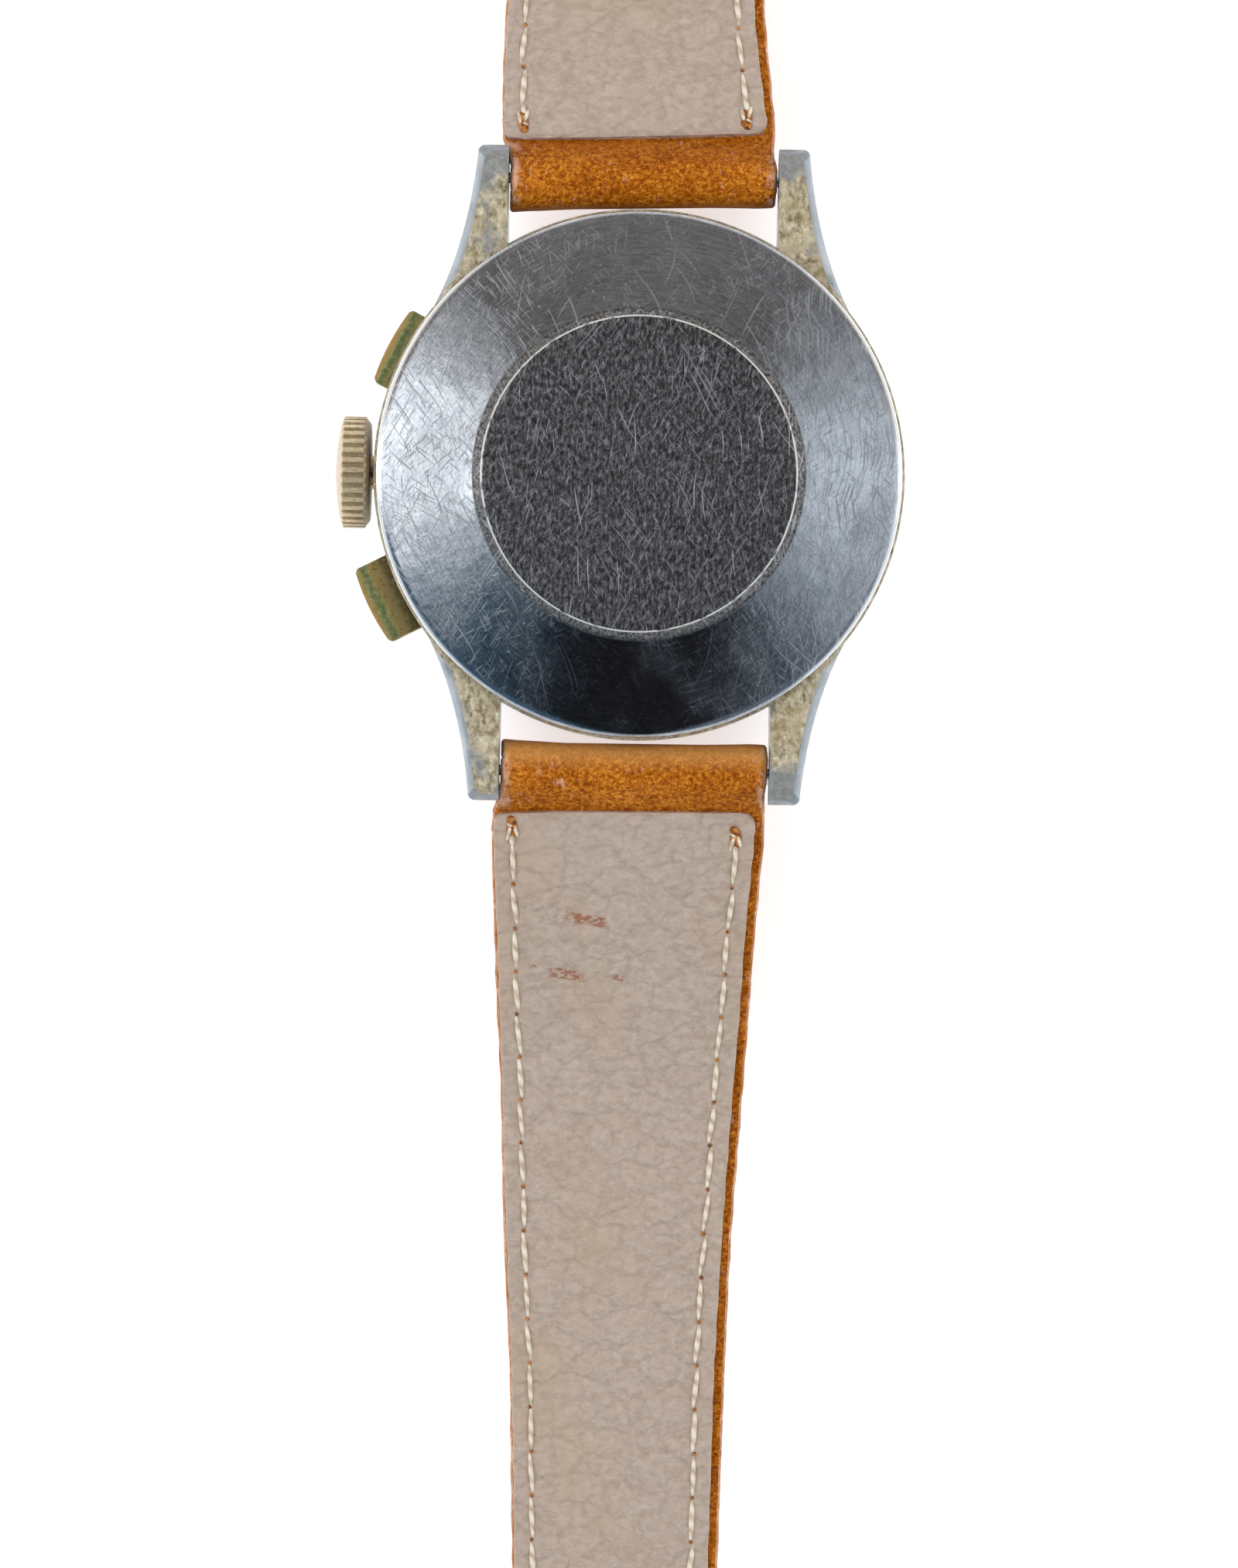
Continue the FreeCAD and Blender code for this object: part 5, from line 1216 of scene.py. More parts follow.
@dataclass
class Movement:
    """Plates, bridges, wheels and levers under the back."""

    stripe_pitch: float = 1.6

    def build(self) -> None:
        """Dress every node of the movement."""
        dress_node("main_plate", GrainedPlate("grained_plate"))
        for index, node in enumerate(("barrel_bridge", "train_bridge", "pallet_bridge", "balance_cock",
                                      "chronograph_bridge")):
            dress_node(node, StripedNickel("striped_nickel_%d" % index, self.stripe_pitch, 15.0 + 24.0 * index))
        for node in ("barrel", "center_wheel", "third_wheel", "fourth_wheel", "balance_wheel", "minute_wheel",
                     "hour_wheel", "chronograph_runner", "minute_counter_wheel", "coupling_wheel"):
            dress_node(node, GiltWheel("gilt_wheel"))
        lever = FineSteel("lever_steel", (0.66, 0.67, 0.68), (0.7, 10, 5), 0.2)
        for node in ("winding_pinion", "crown_wheel", "intermediate_wheel", "ratchet_wheel", "barrel_arbor",
                     "escape_wheel", "pallet_fork", "cannon_pinion", "coupling_lever", "operating_lever",
                     "hammer_lever", "column_wheel", "mainspring"):
            dress_node(node, lever)
        dress_node("hairspring", BluedSteel("heat_blued"))
        LOG.info("movement dressed")


@dataclass
class Dial:
    """Dial, printing, applied markers and hands."""

    front: float = -8.5
    register_x: float = 6.6
    register_r: float = 4.1
    track_r: float = 13.9
    number_r: float = 14.55
    quarter_r: float = 2.55
    marker_r: float = 11.6
    figure_y: float = 10.6
    print_t: float = 0.02

    def tick_ring(self, name: str, centre: float, outer: float, count: int,
                  size: Callable[[int], tuple[float, float]], thick: float, finish: Finish) -> Piece:
        """Ticks round a centre on the dial.

        Args:
            name: The piece's name.
            centre: X of the centre.
            outer: Radius of the ticks' outer ends.
            count: How many ticks.
            size: Width and length of each tick by number.
            thick: How far they stand off the dial.
            finish: Their finish.

        Returns:
            The ticks as one piece.
        """
        made = []
        for i in range(count):
            wide, long = size(i)
            if wide == 0:
                continue
            tick = block(name, (-wide / 2, outer - long, self.front - thick), (wide / 2, outer, self.front))
            tick.data.transform(Matrix.Translation((centre * MM, 0, 0)) @
                                Matrix.Rotation(2 * math.pi * i / count, 4, "Z"))
            made.append(tick)
        ring = joined(name, made)
        coat(ring, finish)
        go_with(ring, "dial")
        return ring

    def build_printing(self) -> None:
        """Minute track, register tracks and plain numbers."""
        ink = PrintedInk("dial_ink")
        self.tick_ring("minute_track", 0.0, self.track_r, 60,
                       lambda i: (0.16, 0.95) if i % 5 == 0 else (0.08, 0.6), self.print_t, ink)
        for label, x, total in (("seconds_track", self.register_x, 60), ("counter_track", -self.register_x, 30)):
            self.tick_ring(label, x, self.register_r - 0.25, total,
                           lambda i: (0.09, 0.6) if i % 5 == 0 else (0.05, 0.35), self.print_t, ink)
        numbers = []
        level = self.front - self.print_t / 2
        for minute in range(5, 61, 5):
            angle = math.radians(90 + minute * 6)
            at = (self.number_r * math.cos(angle), self.number_r * math.sin(angle), level)
            numbers.append(lettered("number", str(minute), 0.75, at, -minute * 6.0))
        for x, labels in ((self.register_x, ("60", "15", "30", "45")), (-self.register_x, ("30", "", "15", ""))):
            for quarter, words in enumerate(labels):
                if words:
                    angle = math.radians(90 + 90 * quarter)
                    at = (x + self.quarter_r * math.cos(angle), self.quarter_r * math.sin(angle), level)
                    numbers.append(lettered("number", words, 0.85, at))
        printing = joined("dial_numbers", numbers)
        coat(printing, ink)
        go_with(printing, "dial")

    def build_markers(self) -> None:
        """Applied gilt batons at the hours, with the numbers 12 and 6."""
        gilt = GiltWheel("applied_gilt")
        batons = self.tick_ring("hour_markers", 0.0, self.marker_r + 1.0, 12,
                                lambda i: (0, 0) if i in (0, 3, 6, 9) else (0.42, 2.2), 0.22, gilt)
        soften(batons, 0.06, 2)
        figures = [lettered("figure", words, 2.6, (0, y, self.front - 0.11), 0.0, 0.22)
                   for words, y in (("12", self.figure_y), ("6", -self.figure_y))]
        pair = joined("hour_figures", figures)
        coat(pair, gilt)
        go_with(pair, "dial")

    def build(self) -> None:
        """Build the dial side."""
        dial = refined("dial", 0.03, 2)
        coat(dial, DialLacquer("dial_lacquer"))
        self.build_printing()
        self.build_markers()
        for hand in Hand:
            piece = refined(hand.value, 0.03, 2)
            coat(piece, BluedSteel("heat_blued"))


# ------------------------------------------------------------------ strap


def looked_up(table: Sequence[tuple[float, float]], at: float, ease: Callable[[float], float]) -> float:
    """Value of a table at a place, level beyond its ends.

    Args:
        table: (place, value) rows in order.
        at: The place.
        ease: Shape of the change between two rows, 0 to 1.

    Returns:
        The value.
    """
    for (x0, v0), (x1, v1) in zip(table, table[1:]):
        if at <= x1:
            return v0 + (v1 - v0) * ease(max(0.0, (at - x0) / (x1 - x0)))
    return table[-1][1]


@dataclass
class Strap:
    """One strap half: leather wrapped round the spring bar, lining, stitching.

    Built as if on the +Y side, then turned to its own side.
    """

    side: Side
    flat_z: float
    end_y: float
    pointed: bool
    bar_y: float = 21.2
    bar_z: float = -4.2
    slope: float = 22.0
    bend_r: float = 40.0
    half_t: float = 1.15
    loop_r: float = 2.0
    bore_r: float = 0.86
    lining_top: float = 1.15
    lining_under: float = 0.52
    lining_start: float = 2.75
    lining_inset: float = 0.44
    lining_shift: float = -0.28
    stitch_inset: float = 1.32
    stitch_pitch: float = 3.2
    stitch_long: float = 3.05
    stitch_wide: float = 0.44
    tip_long: float = 8.0
    hole_r: float = 0.9
    hole_pitch: float = 6.5
    hole_from_tip: float = 22.0
    hole_count: int = 6
    least_half: float = 0.45
    tip_half: float = 7.0
    slot_half: float = 1.15
    bar_hole_r: float = 0.80
    lean_start: float = 22.0
    slant_fade: float = 4.5
    holes: list = field(default_factory=list)

    @property
    def name(self) -> str:
        """Prefix of this half's pieces and nodes."""
        return "upper" if self.side is Side.TWELVE else "lower"

    def to_side(self) -> Matrix:
        """Turn from the +Y side to this half's side."""
        return Matrix.Identity(4) if self.side is Side.TWELVE else Matrix.Rotation(math.pi, 4, "Z")

    def worldwards(self, share: float) -> float:
        """A sideways measure turned between this half's own axes and the world's."""
        return share * self.side.value

    def half_width(self, y: float) -> float:
        """Half width at a distance along the strap.

        Args:
            y: Distance from the case's middle, millimetres.

        Returns:
            The half width.
        """
        table = ((18.0, 9.49), (23.0, 9.49), (24.2, 9.79), (26.5, 9.76), (30.0, 9.57), (33.0, 9.40), (38.0, 9.18),
                 (43.3, 8.85), (54.0, 8.32), (65.3, 7.79), (78.0, 7.49), (93.0, self.tip_half))
        if self.pointed and y > self.end_y - self.tip_long:
            share = min(1.0, (y - self.end_y + self.tip_long) / self.tip_long)
            return max(0.02, self.tip_half * math.sqrt(max(0.0, 1 - share ** 1.75)))
        return looked_up(table, y, lambda t: t)

    def sway(self, y: float) -> float:
        """How far the half leans sideways, in the world's X, at a distance along it.

        Args:
            y: Distance from the case's middle, millimetres.

        Returns:
            The sideways shift.
        """
        upper = ((21.5, 0.0), (24.5, -0.42), (33.0, -0.80), (44.0, -0.95), (62.0, 0.0))
        lower = ((21.5, 0.0), (24.5, -0.36), (37.0, -0.48), (54.0, -0.60), (78.0, -0.42), (100.0, 0.0))
        return looked_up(upper if self.side is Side.TWELVE else lower, y, lambda t: t * t * (3 - 2 * t))

    def slope_length(self) -> float:
        """Length of the straight sloping stretch."""
        angle = math.radians(self.slope)
        return (self.bar_z - self.flat_z - self.bend_r * (1 - math.cos(angle))) / math.sin(angle)

    def middle(self, s: float) -> tuple[float, float, float]:
        """Point and direction on the strap's middle line.

        Args:
            s: Distance from the spring bar, millimetres.

        Returns:
            (y, z, angle below the horizontal in radians).
        """
        angle = math.radians(self.slope)
        straight = self.slope_length()
        if s <= straight:
            return self.bar_y + s * math.cos(angle), self.bar_z - s * math.sin(angle), angle
        y0 = self.bar_y + straight * math.cos(angle)
        z0 = self.bar_z - straight * math.sin(angle)
        centre_y = y0 + self.bend_r * math.sin(angle)
        centre_z = z0 + self.bend_r * math.cos(angle)
        swept = (s - straight) / self.bend_r
        if swept <= angle:
            now = angle - swept
            return centre_y - self.bend_r * math.sin(now), centre_z - self.bend_r * math.cos(now), now
        return centre_y + (s - straight - angle * self.bend_r), centre_z - self.bend_r, 0.0

    def reach(self, y: float) -> float:
        """Distance along the middle line at which it passes y.

        Args:
            y: Distance from the case's middle, millimetres.

        Returns:
            The distance along the line.
        """
        angle = math.radians(self.slope)
        straight = self.slope_length()
        bend_y = self.bar_y + straight * math.cos(angle) + self.bend_r * math.sin(angle)
        return straight + self.bend_r * angle + (y - bend_y)

    def at(self, s: float, d: float) -> tuple[float, float]:
        """Side view (y, z) of a point along the middle line, offset towards the lining side."""
        y, z, angle = self.middle(s)
        return y + d * math.sin(angle), z + d * math.cos(angle)

    def section(self, corner: float, groove_top: float, groove_low: float) -> list[tuple[int, float, int, float]]:
        """Ring of the cross-section.

        Args:
            corner: Corner rounding in millimetres.
            groove_top: Depth of the stitched groove on the lining side.
            groove_low: Depth of the stitched groove on the outer side.

        Returns:
            (side -1 or 1, inset from the edge, height -1 or 1, depth below the face) corners.
        """
        start, middle = self.stitch_inset - 0.70, self.stitch_inset
        runs = []
        for side, height, depth in ((1, -1, groove_low), (1, 1, groove_top), (-1, 1, groove_top),
                                    (-1, -1, groove_low)):
            run = [(corner * (1 - math.sin(a)), corner * (1 - math.cos(a)))
                   for a in map(math.radians, (90, 67.5, 45, 22.5, 0))]
            run += [(corner + (start - corner) * k / 4, 0.0) for k in (1, 2, 3)]
            run += [(start, 0.0), (middle - 0.34, depth * 0.5), (middle, depth), (middle + 0.34, depth * 0.5),
                    (middle + 0.70, 0.0), (4.6, 0.0)]
            runs.append([(side, inset, height, drop) for inset, drop in run])
        lower_right, upper_right, upper_left, lower_left = runs
        return lower_right[::-1] + upper_right + upper_left[::-1] + lower_left

    def swept(self, name: str, stations: Sequence[tuple], corner: float, groove_top: float, groove_low: float,
              inset: float = 0.0, shift: float = 0.0, front: Optional[Callable[[float], float]] = None,
              swell: Optional[Callable[[int, float], float]] = None) -> Piece:
        """Sweep the cross-section through stations: a grid is added, and its rows are laid round the section.

        Args:
            name: The piece's name.
            stations: (y, z, normal y, normal z, thickness) along the piece.
            corner: Corner rounding.
            groove_top: Groove depth on the lining side.
            groove_low: Groove depth on the outer side.
            inset: How far the piece stays inside the strap's edge.
            shift: Sideways shift in the world's X.
            front: Slant of the front edge in millimetres along the strap, by side share -1 to 1.
            swell: Extra height on the outer side by station and side share.

        Returns:
            The closed piece.
        """
        ring = self.section(corner, groove_top, groove_low)
        rows, columns = len(stations), len(ring) + 1
        clear_selection()
        bpy.ops.mesh.primitive_grid_add(x_subdivisions=columns - 1, y_subdivisions=rows - 1, size=1.0)
        piece = fresh(name)
        wave = random.Random(len(name) * 7 + rows)
        phase = [wave.uniform(0, 6.28) for _ in range(6)]
        verts = sorted(piece.data.vertices, key=lambda v: (round(v.co.y, 5), round(v.co.x, 5)))
        for index, vert in enumerate(verts):
            row, column = divmod(index, columns)
            y, z, ny, nz, thick = stations[row]
            side, edge, height, drop = ring[column % len(ring)]
            wander = self.worldwards(self.sway(y) + shift * min(1.0, max(0.0, (y - self.lean_start) / 3)))
            ragged = 0.035 * math.sin(y * 1.9 + phase[0] + side) + 0.03 * math.sin(y * 4.3 + phase[1] * side)
            half = self.half_width(y)
            width = max(self.least_half, half - inset + (ragged if half > 3 else 0))
            x = side * max(0.0, width - min(edge, width))
            drop = drop if edge < width else 0.0
            d = height * max(0.02, thick / 2 - min(drop, thick / 2 - 0.02))
            if swell is not None and height > 0:
                d += swell(row, x / max(width, 0.1))
            along = math.hypot(y - stations[0][0], z - stations[0][1])
            if front is not None and along < self.slant_fade:
                slant = front(x / max(width, 0.1)) * (1 - along / self.slant_fade)
                y += slant * nz
                z -= slant * ny
            vert.co = ((x + wander) * MM, (y + ny * d) * MM, (z + nz * d) * MM)
        with editing(piece):
            bpy.ops.mesh.remove_doubles(threshold=0.0008 * MM)
            bpy.ops.mesh.select_all(action="DESELECT")
            bpy.ops.mesh.select_non_manifold(extend=False)
            bpy.ops.mesh.edge_face_add()
            bpy.ops.mesh.select_all(action="SELECT")
            bpy.ops.mesh.quads_convert_to_tris(quad_method="BEAUTY", ngon_method="BEAUTY")
        piece.data.transform(self.to_side())
        tidy_mesh(piece, 0.0004)
        return piece

    def leather_stations(self) -> list[tuple]:
        """Stations of the leather: from under the lining, back round the bar, and out along the strap."""
        made = []

        def add(s: float, d: float, thick: float, back: bool) -> None:
            """Add a station on a line beside the middle line."""
            y, z = self.at(s, d)
            angle = self.middle(s)[2]
            sign = 1 if back else -1
            made.append((y, z, sign * math.sin(angle), sign * math.cos(angle), thick))

        slope = math.radians(self.slope)
        for s, top, thick in ((4.6, 0.50, 0.40), (3.6, 0.50, 0.48), (3.0, 0.55, 0.58), (2.5, 0.80, 0.78),
                              (1.9, 1.28, 0.95), (1.2, 1.66, 1.02), (0.6, 1.90, 1.08)):
            add(s, top - thick / 2, thick, True)
        wall = self.loop_r - self.bore_r - 0.02
        ring_r = self.loop_r - wall / 2
        for i in range(17):
            turn = math.pi * i / 16
            ny = math.sin(slope) * math.cos(turn) - math.cos(slope) * math.sin(turn)
            nz = math.cos(slope) * math.cos(turn) + math.sin(slope) * math.sin(turn)
            made.append((self.bar_y + ring_r * ny, self.bar_z + ring_r * nz, ny, nz, wall))
        for s, low, thick in ((0.7, -1.90, 1.10), (1.6, -1.72, 1.10), (2.7, -1.52, 1.25), (4.0, -1.33, 1.45),
                              (5.5, -1.17, 1.62)):
            add(s, low + thick / 2, thick, False)
        first = 6.4
        last = self.reach(self.end_y)
        body = self.lining_under + self.half_t
        steps = 64 if self.pointed else 44
        closing = self.tip_long + 1 if self.pointed else 10.0
        for i in range(steps):
            s = first + (last - closing - first) * i / (steps - 1)
            add(s, (self.lining_under - self.half_t) / 2, body, False)
        if self.pointed:
            for i in range(1, 25):
                s = last - closing + closing * math.sin(math.pi / 2 * i / 24)
                thick = body * (1 - 0.35 * (i / 24) ** 3)
                add(s, -self.half_t + thick / 2, thick, False)
        else:
            for i in range(1, 6):
                rise = min(1.0, i / 3)
                thick = body + (self.half_t - self.lining_under) * rise
                add(last - closing + 0.25 * i, -self.half_t + thick / 2, thick, False)
            for i in range(1, 6):
                add(last - closing + 1.25 + (closing - 1.25) * i / 5, 0.0, 2 * self.half_t, False)
            for i in range(1, 9):
                turn = math.pi / 2 * i / 8
                add(last + self.half_t * math.sin(turn), 0.0, max(0.04, 2 * self.half_t * math.cos(turn)), False)
        return made

    def lining_stations(self) -> list[tuple]:
        """Stations of the lining along its top of the strap."""
        made = []
        last = self.reach(self.end_y) - (0.45 if self.pointed else 9.2)
        thick_full = self.lining_top - self.lining_under + 0.02
        starts = [self.lining_start + 0.16 * i for i in range(6)]
        steps = 70 if self.pointed else 46
        body = [self.lining_start + 1.0 + (last - self.lining_start - 1.0 - (8.0 if self.pointed else 0)) * i /
                (steps - 1) for i in range(steps)]
        tail = [body[-1] + 8.0 * math.sin(math.pi / 2 * i / 22) for i in range(1, 23)] if self.pointed else []
        for s in starts + body[1:] + tail:
            rise = min(1.0, 0.72 + (s - self.lining_start) / 1.2)
            thick = thick_full * rise
            y, z = self.at(s, self.lining_under + thick / 2)
            angle = self.middle(s)[2]
            made.append((y, z, math.sin(angle), math.cos(angle), thick))
        return made

    def front_slant(self, share: float) -> float:
        """How far the lining's front edge leans along the strap.

        Args:
            share: -1 at the local left edge to 1 at the right.

        Returns:
            Millimetres away from the bar.
        """
        world = self.worldwards(share)
        near = min(1.0, max(0.0, (abs(share) - 0.90) / 0.10))
        rounding = 0.95 * (1 - math.sqrt(1 - near * near))
        if self.side is Side.TWELVE:
            return 0.42 * (world + 1) ** 1.6 / 2 ** 0.6 * 0.9 - 0.02 + rounding * (0.15 if world < 0 else 1.0)
        return 0.40 * max(0.0, -world) ** 2 - 0.05 + rounding * (0.15 if world < 0 else 1.3)

    def swell(self, row: int, share: float) -> float:
        """How much further the loop bulges towards the case at its worn ends.

        Args:
            row: The leather's station, from the fold under the lining.
            share: -1 at the local left edge to 1 at the right.

        Returns:
            Millimetres outward.
        """
        world = self.worldwards(share)
        turn = min(1.0, max(0.0, (row - 6) / 18))
        window = math.sin(math.pi * turn) ** 1.5
        wave = 0.05 * math.sin(7 * world + 1) + 0.03 * math.sin(17 * world)
        if self.side is Side.TWELVE:
            lean = 0.08 - 0.28 * world + 0.10 * max(0.0, -world) ** 4
        else:
            lean = 0.04 + 0.05 * world + 0.22 * max(0.0, -world) ** 3
        return window * (lean + wave)

    def mark_edges(self, piece: Piece) -> None:
        """Give the side faces the cut-edge material."""
        for face in piece.data.polygons:
            if abs(face.normal.x) > 0.30:
                face.material_index = 1

    def build_leather(self) -> None:
        """Build the leather, with its slot or its holes."""
        leather = self.swept(self.name + "_leather", self.leather_stations(), 0.28, 0.0, 0.14, swell=self.swell)
        cutters = []
        if self.pointed:
            for k in range(self.hole_count):
                y = self.end_y - self.hole_from_tip - k * self.hole_pitch
                clear_selection()
                bpy.ops.mesh.primitive_cylinder_add(vertices=32, radius=self.hole_r * MM, depth=6 * MM,
                                                    location=(0, -y * MM, self.flat_z * MM))
                cutters.append(fresh("punch"))
        else:
            y = self.end_y
            cutters.append(block("punch", (-self.slot_half, y - 5.0, self.flat_z - 3),
                                 (self.slot_half, y + 3.0, self.flat_z + 3)))
            clear_selection()
            bpy.ops.mesh.primitive_cylinder_add(vertices=40, radius=self.bar_hole_r * MM, depth=30 * MM,
                                                location=(0, y * MM, self.flat_z * MM),
                                                rotation=(0, math.pi / 2, 0))
            cutters.append(fresh("punch"))
        self.cut(leather, cutters)
        self.holes = cutters
        soften(leather, 0.0, smooth=50.0)
        coat(leather, TanLeather("cognac_leather"), CutLeather("cut_leather"))
        self.mark_edges(leather)
        stand_for(leather, self.name + "_strap_leather")

    def cut(self, piece: Piece, cutters: Sequence[Piece]) -> None:
        """Cut pieces out of a piece, keeping the cutters.

        Args:
            piece: The piece to cut.
            cutters: Closed pieces to take away.
        """
        for cutter in cutters:
            settle(cutter)
            modifier = piece.modifiers.new("punch", "BOOLEAN")
            modifier.operation = "DIFFERENCE"
            modifier.object = cutter
            modifier.solver = "EXACT"
            pick(piece)
            bpy.ops.object.modifier_apply(modifier=modifier.name)

    def build_lining(self) -> None:
        """Build the lining, its front edge slanted as it was cut."""
        lining = self.swept(self.name + "_lining", self.lining_stations(), 0.16, 0.13, 0.0, self.lining_inset,
                            self.lining_shift, self.front_slant)
        if self.pointed:
            self.cut(lining, self.holes)
        for cutter in self.holes:
            bpy.data.objects.remove(cutter)
        soften(lining, 0.0, smooth=55.0)
        coat(lining, PigskinLining("pigskin"))
        stand_for(lining, self.name + "_strap_lining")

    def stitch_master(self) -> Piece:
        """One stitch along Y: a tapered cushion of a few dozen faces."""
        clear_selection()
        bpy.ops.mesh.primitive_uv_sphere_add(segments=8, ring_count=9, radius=1.0, rotation=(math.pi / 2, 0, 0))
        stitch = fresh("stitch")
        settle(stitch)
        for vert in stitch.data.vertices:
            x, y, z = vert.co
            fat = 1.0 + 0.18 * (1 - y * y) + 0.25 * y * y
            vert.co = (x * fat * self.stitch_wide * 0.36 * MM, y * self.stitch_long * 0.5 * MM,
                       (z * fat * self.stitch_wide * 0.33 - 0.12 * y * y) * MM)
        pick(stitch)
        bpy.ops.object.shade_smooth()
        return stitch

    def build_stitching(self) -> None:
        """Lay the stitches along both sides and both faces, with holes between them and end knots."""
        master = self.stitch_master()
        clear_selection()
        bpy.ops.mesh.primitive_uv_sphere_add(segments=8, ring_count=5, radius=1.0)
        dimple = fresh("dimple")
        dimple.scale = (0.13 * MM, 0.17 * MM, 0.035 * MM)
        settle(dimple)
        rnd = random.Random(17 if self.side is Side.TWELVE else 43)
        threads, holes = [], []
        stop = self.end_y - (9.5 if self.pointed else 10.5)
        for on_top in (True, False):
            start = self.bar_y + (4.6 if on_top else 6.6)
            for side in (-1, 1):
                for k in range(int((stop - start) / self.stitch_pitch)):
                    mid = start + self.stitch_pitch * (k + 0.5)
                    threads.append(self.sewn(master, mid, side, on_top, 0.09, rnd))
                    holes.append(self.sewn(dimple, mid - self.stitch_pitch / 2, side, on_top, 0.06, rnd))
                if on_top:
                    knot = start - 0.75 + (0.5 if self.worldwards(side) > 0 else 0.0)
                    self.add_knot(side, knot, master, dimple, threads, holes, rnd)
        stitches = joined(self.name + "_threads", threads)
        coat(stitches, Thread("cream_twist"))
        stand_for(stitches, self.name + "_stitching")
        marks = joined(self.name + "_needle_holes", holes)
        pick(marks)
        bpy.ops.object.shade_smooth()
        coat(marks, NeedleHole("needle_hole"))
        go_with(marks, self.name + "_strap_lining")
        for spare in (master, dimple):
            bpy.data.objects.remove(spare)

    def sewn(self, piece: Piece, place: float, side: int, on_top: bool, lift: float,
             rnd: random.Random) -> Piece:
        """Copy a stitch or a needle hole to its place in the seam, a little out of line.

        Args:
            piece: The stitch or the hole.
            place: Where along the strap.
            side: -1 or 1 across the strap.
            on_top: On the lining's face, not the leather's.
            lift: How far it stands off the groove.
            rnd: Random source.

        Returns:
            The copy.
        """
        bend_end = self.middle(self.slope_length() + self.bend_r * math.radians(self.slope))[0]
        s = self.find(place) if place < bend_end else self.reach(place)
        d = self.lining_top - 0.09 if on_top else -self.half_t + 0.10
        y, z = self.at(s, d + lift * (1 if on_top else -1))
        lean = self.sway(place) + self.lining_shift * (1 if on_top else 0)
        x = side * (self.half_width(place) - (self.stitch_inset + self.lining_inset)) + self.worldwards(lean)
        x += rnd.uniform(-0.05, 0.05)
        taper = (self.half_width(place + 1) - self.half_width(place - 1)) / 2 * side
        swing = -math.atan(taper) + math.radians(rnd.uniform(-3.5, 3.5) + 3.0 * side)
        turn = Matrix.Rotation(-self.middle(s)[2], 4, "X") @ Matrix.Rotation(swing, 4, "Z")
        if not on_top:
            turn = turn @ Matrix.Rotation(math.pi, 4, "Y")
        grow = Matrix.Diagonal((rnd.uniform(0.9, 1.12), rnd.uniform(0.95, 1.05), 1.0, 1.0))
        return copy_of(piece, self.to_side() @ Matrix.Translation(Vector((x, y, z)) * MM) @ turn @ grow)

    def find(self, y: float) -> float:
        """Distance along the middle line that lies at y, by halving.

        Args:
            y: Distance from the case's middle.

        Returns:
            The distance along the line.
        """
        low, high = 0.0, 60.0
        for _ in range(40):
            half = (low + high) / 2
            low, high = (half, high) if self.middle(half)[0] < y else (low, half)
        return (low + high) / 2

    def add_knot(self, side: int, place: float, master: Piece, dimple: Piece,
                 threads: list, holes: list, rnd: random.Random) -> None:
        """End knot: two short strands side by side and a torn hole that shows leather.

        Args:
            side: -1 or 1 across the strap.
            place: Where along the strap.
            master: The stitch to copy.
            dimple: The hole to copy.
            threads: Threads so far.
            holes: Holes so far.
            rnd: Random source.
        """
        across = side * (self.half_width(place) - self.stitch_inset - self.lining_inset)
        across += self.worldwards(self.sway(place) + self.lining_shift)

        def lay(piece: Piece, bag: list, dx: float, dy: float, lift: float, turn_by: float,
                grow: Point) -> None:
            """Lay a copy beside the end of the seam."""
            s = self.find(place + dy)
            y, z = self.at(s, self.lining_top + lift)
            turn = Matrix.Rotation(-self.middle(s)[2], 4, "X") @ Matrix.Rotation(math.radians(turn_by), 4, "Z")
            where = Matrix.Translation(Vector((across + dx, y, z)) * MM) @ turn @ Matrix.Diagonal((*grow, 1.0))
            bag.append(copy_of(piece, self.to_side() @ where))

        lay(dimple, holes, 0.0, -0.15, 0.0, rnd.uniform(-12, 12), (3.2, 5.2, 2.2))
        lay(dimple, holes, 0.10, -0.65, 0.0, rnd.uniform(-30, 30), (2.4, 2.6, 2.4))
        lay(master, threads, -0.26, 0.05, 0.03, 13.0, (0.75, 0.36, 0.9))
        lay(master, threads, 0.24, 0.25, 0.03, -12.0, (0.75, 0.42, 0.9))
        lay(master, threads, 0.02, 0.75, 0.02, 3.0, (0.95, 0.30, 1.0))
        lay(master, threads, 0.16, -0.35, 0.05, 62.0, (0.55, 0.16, 0.8))

    def build(self) -> None:
        """Build the half."""
        self.build_leather()
        self.build_lining()
        self.build_stitching()


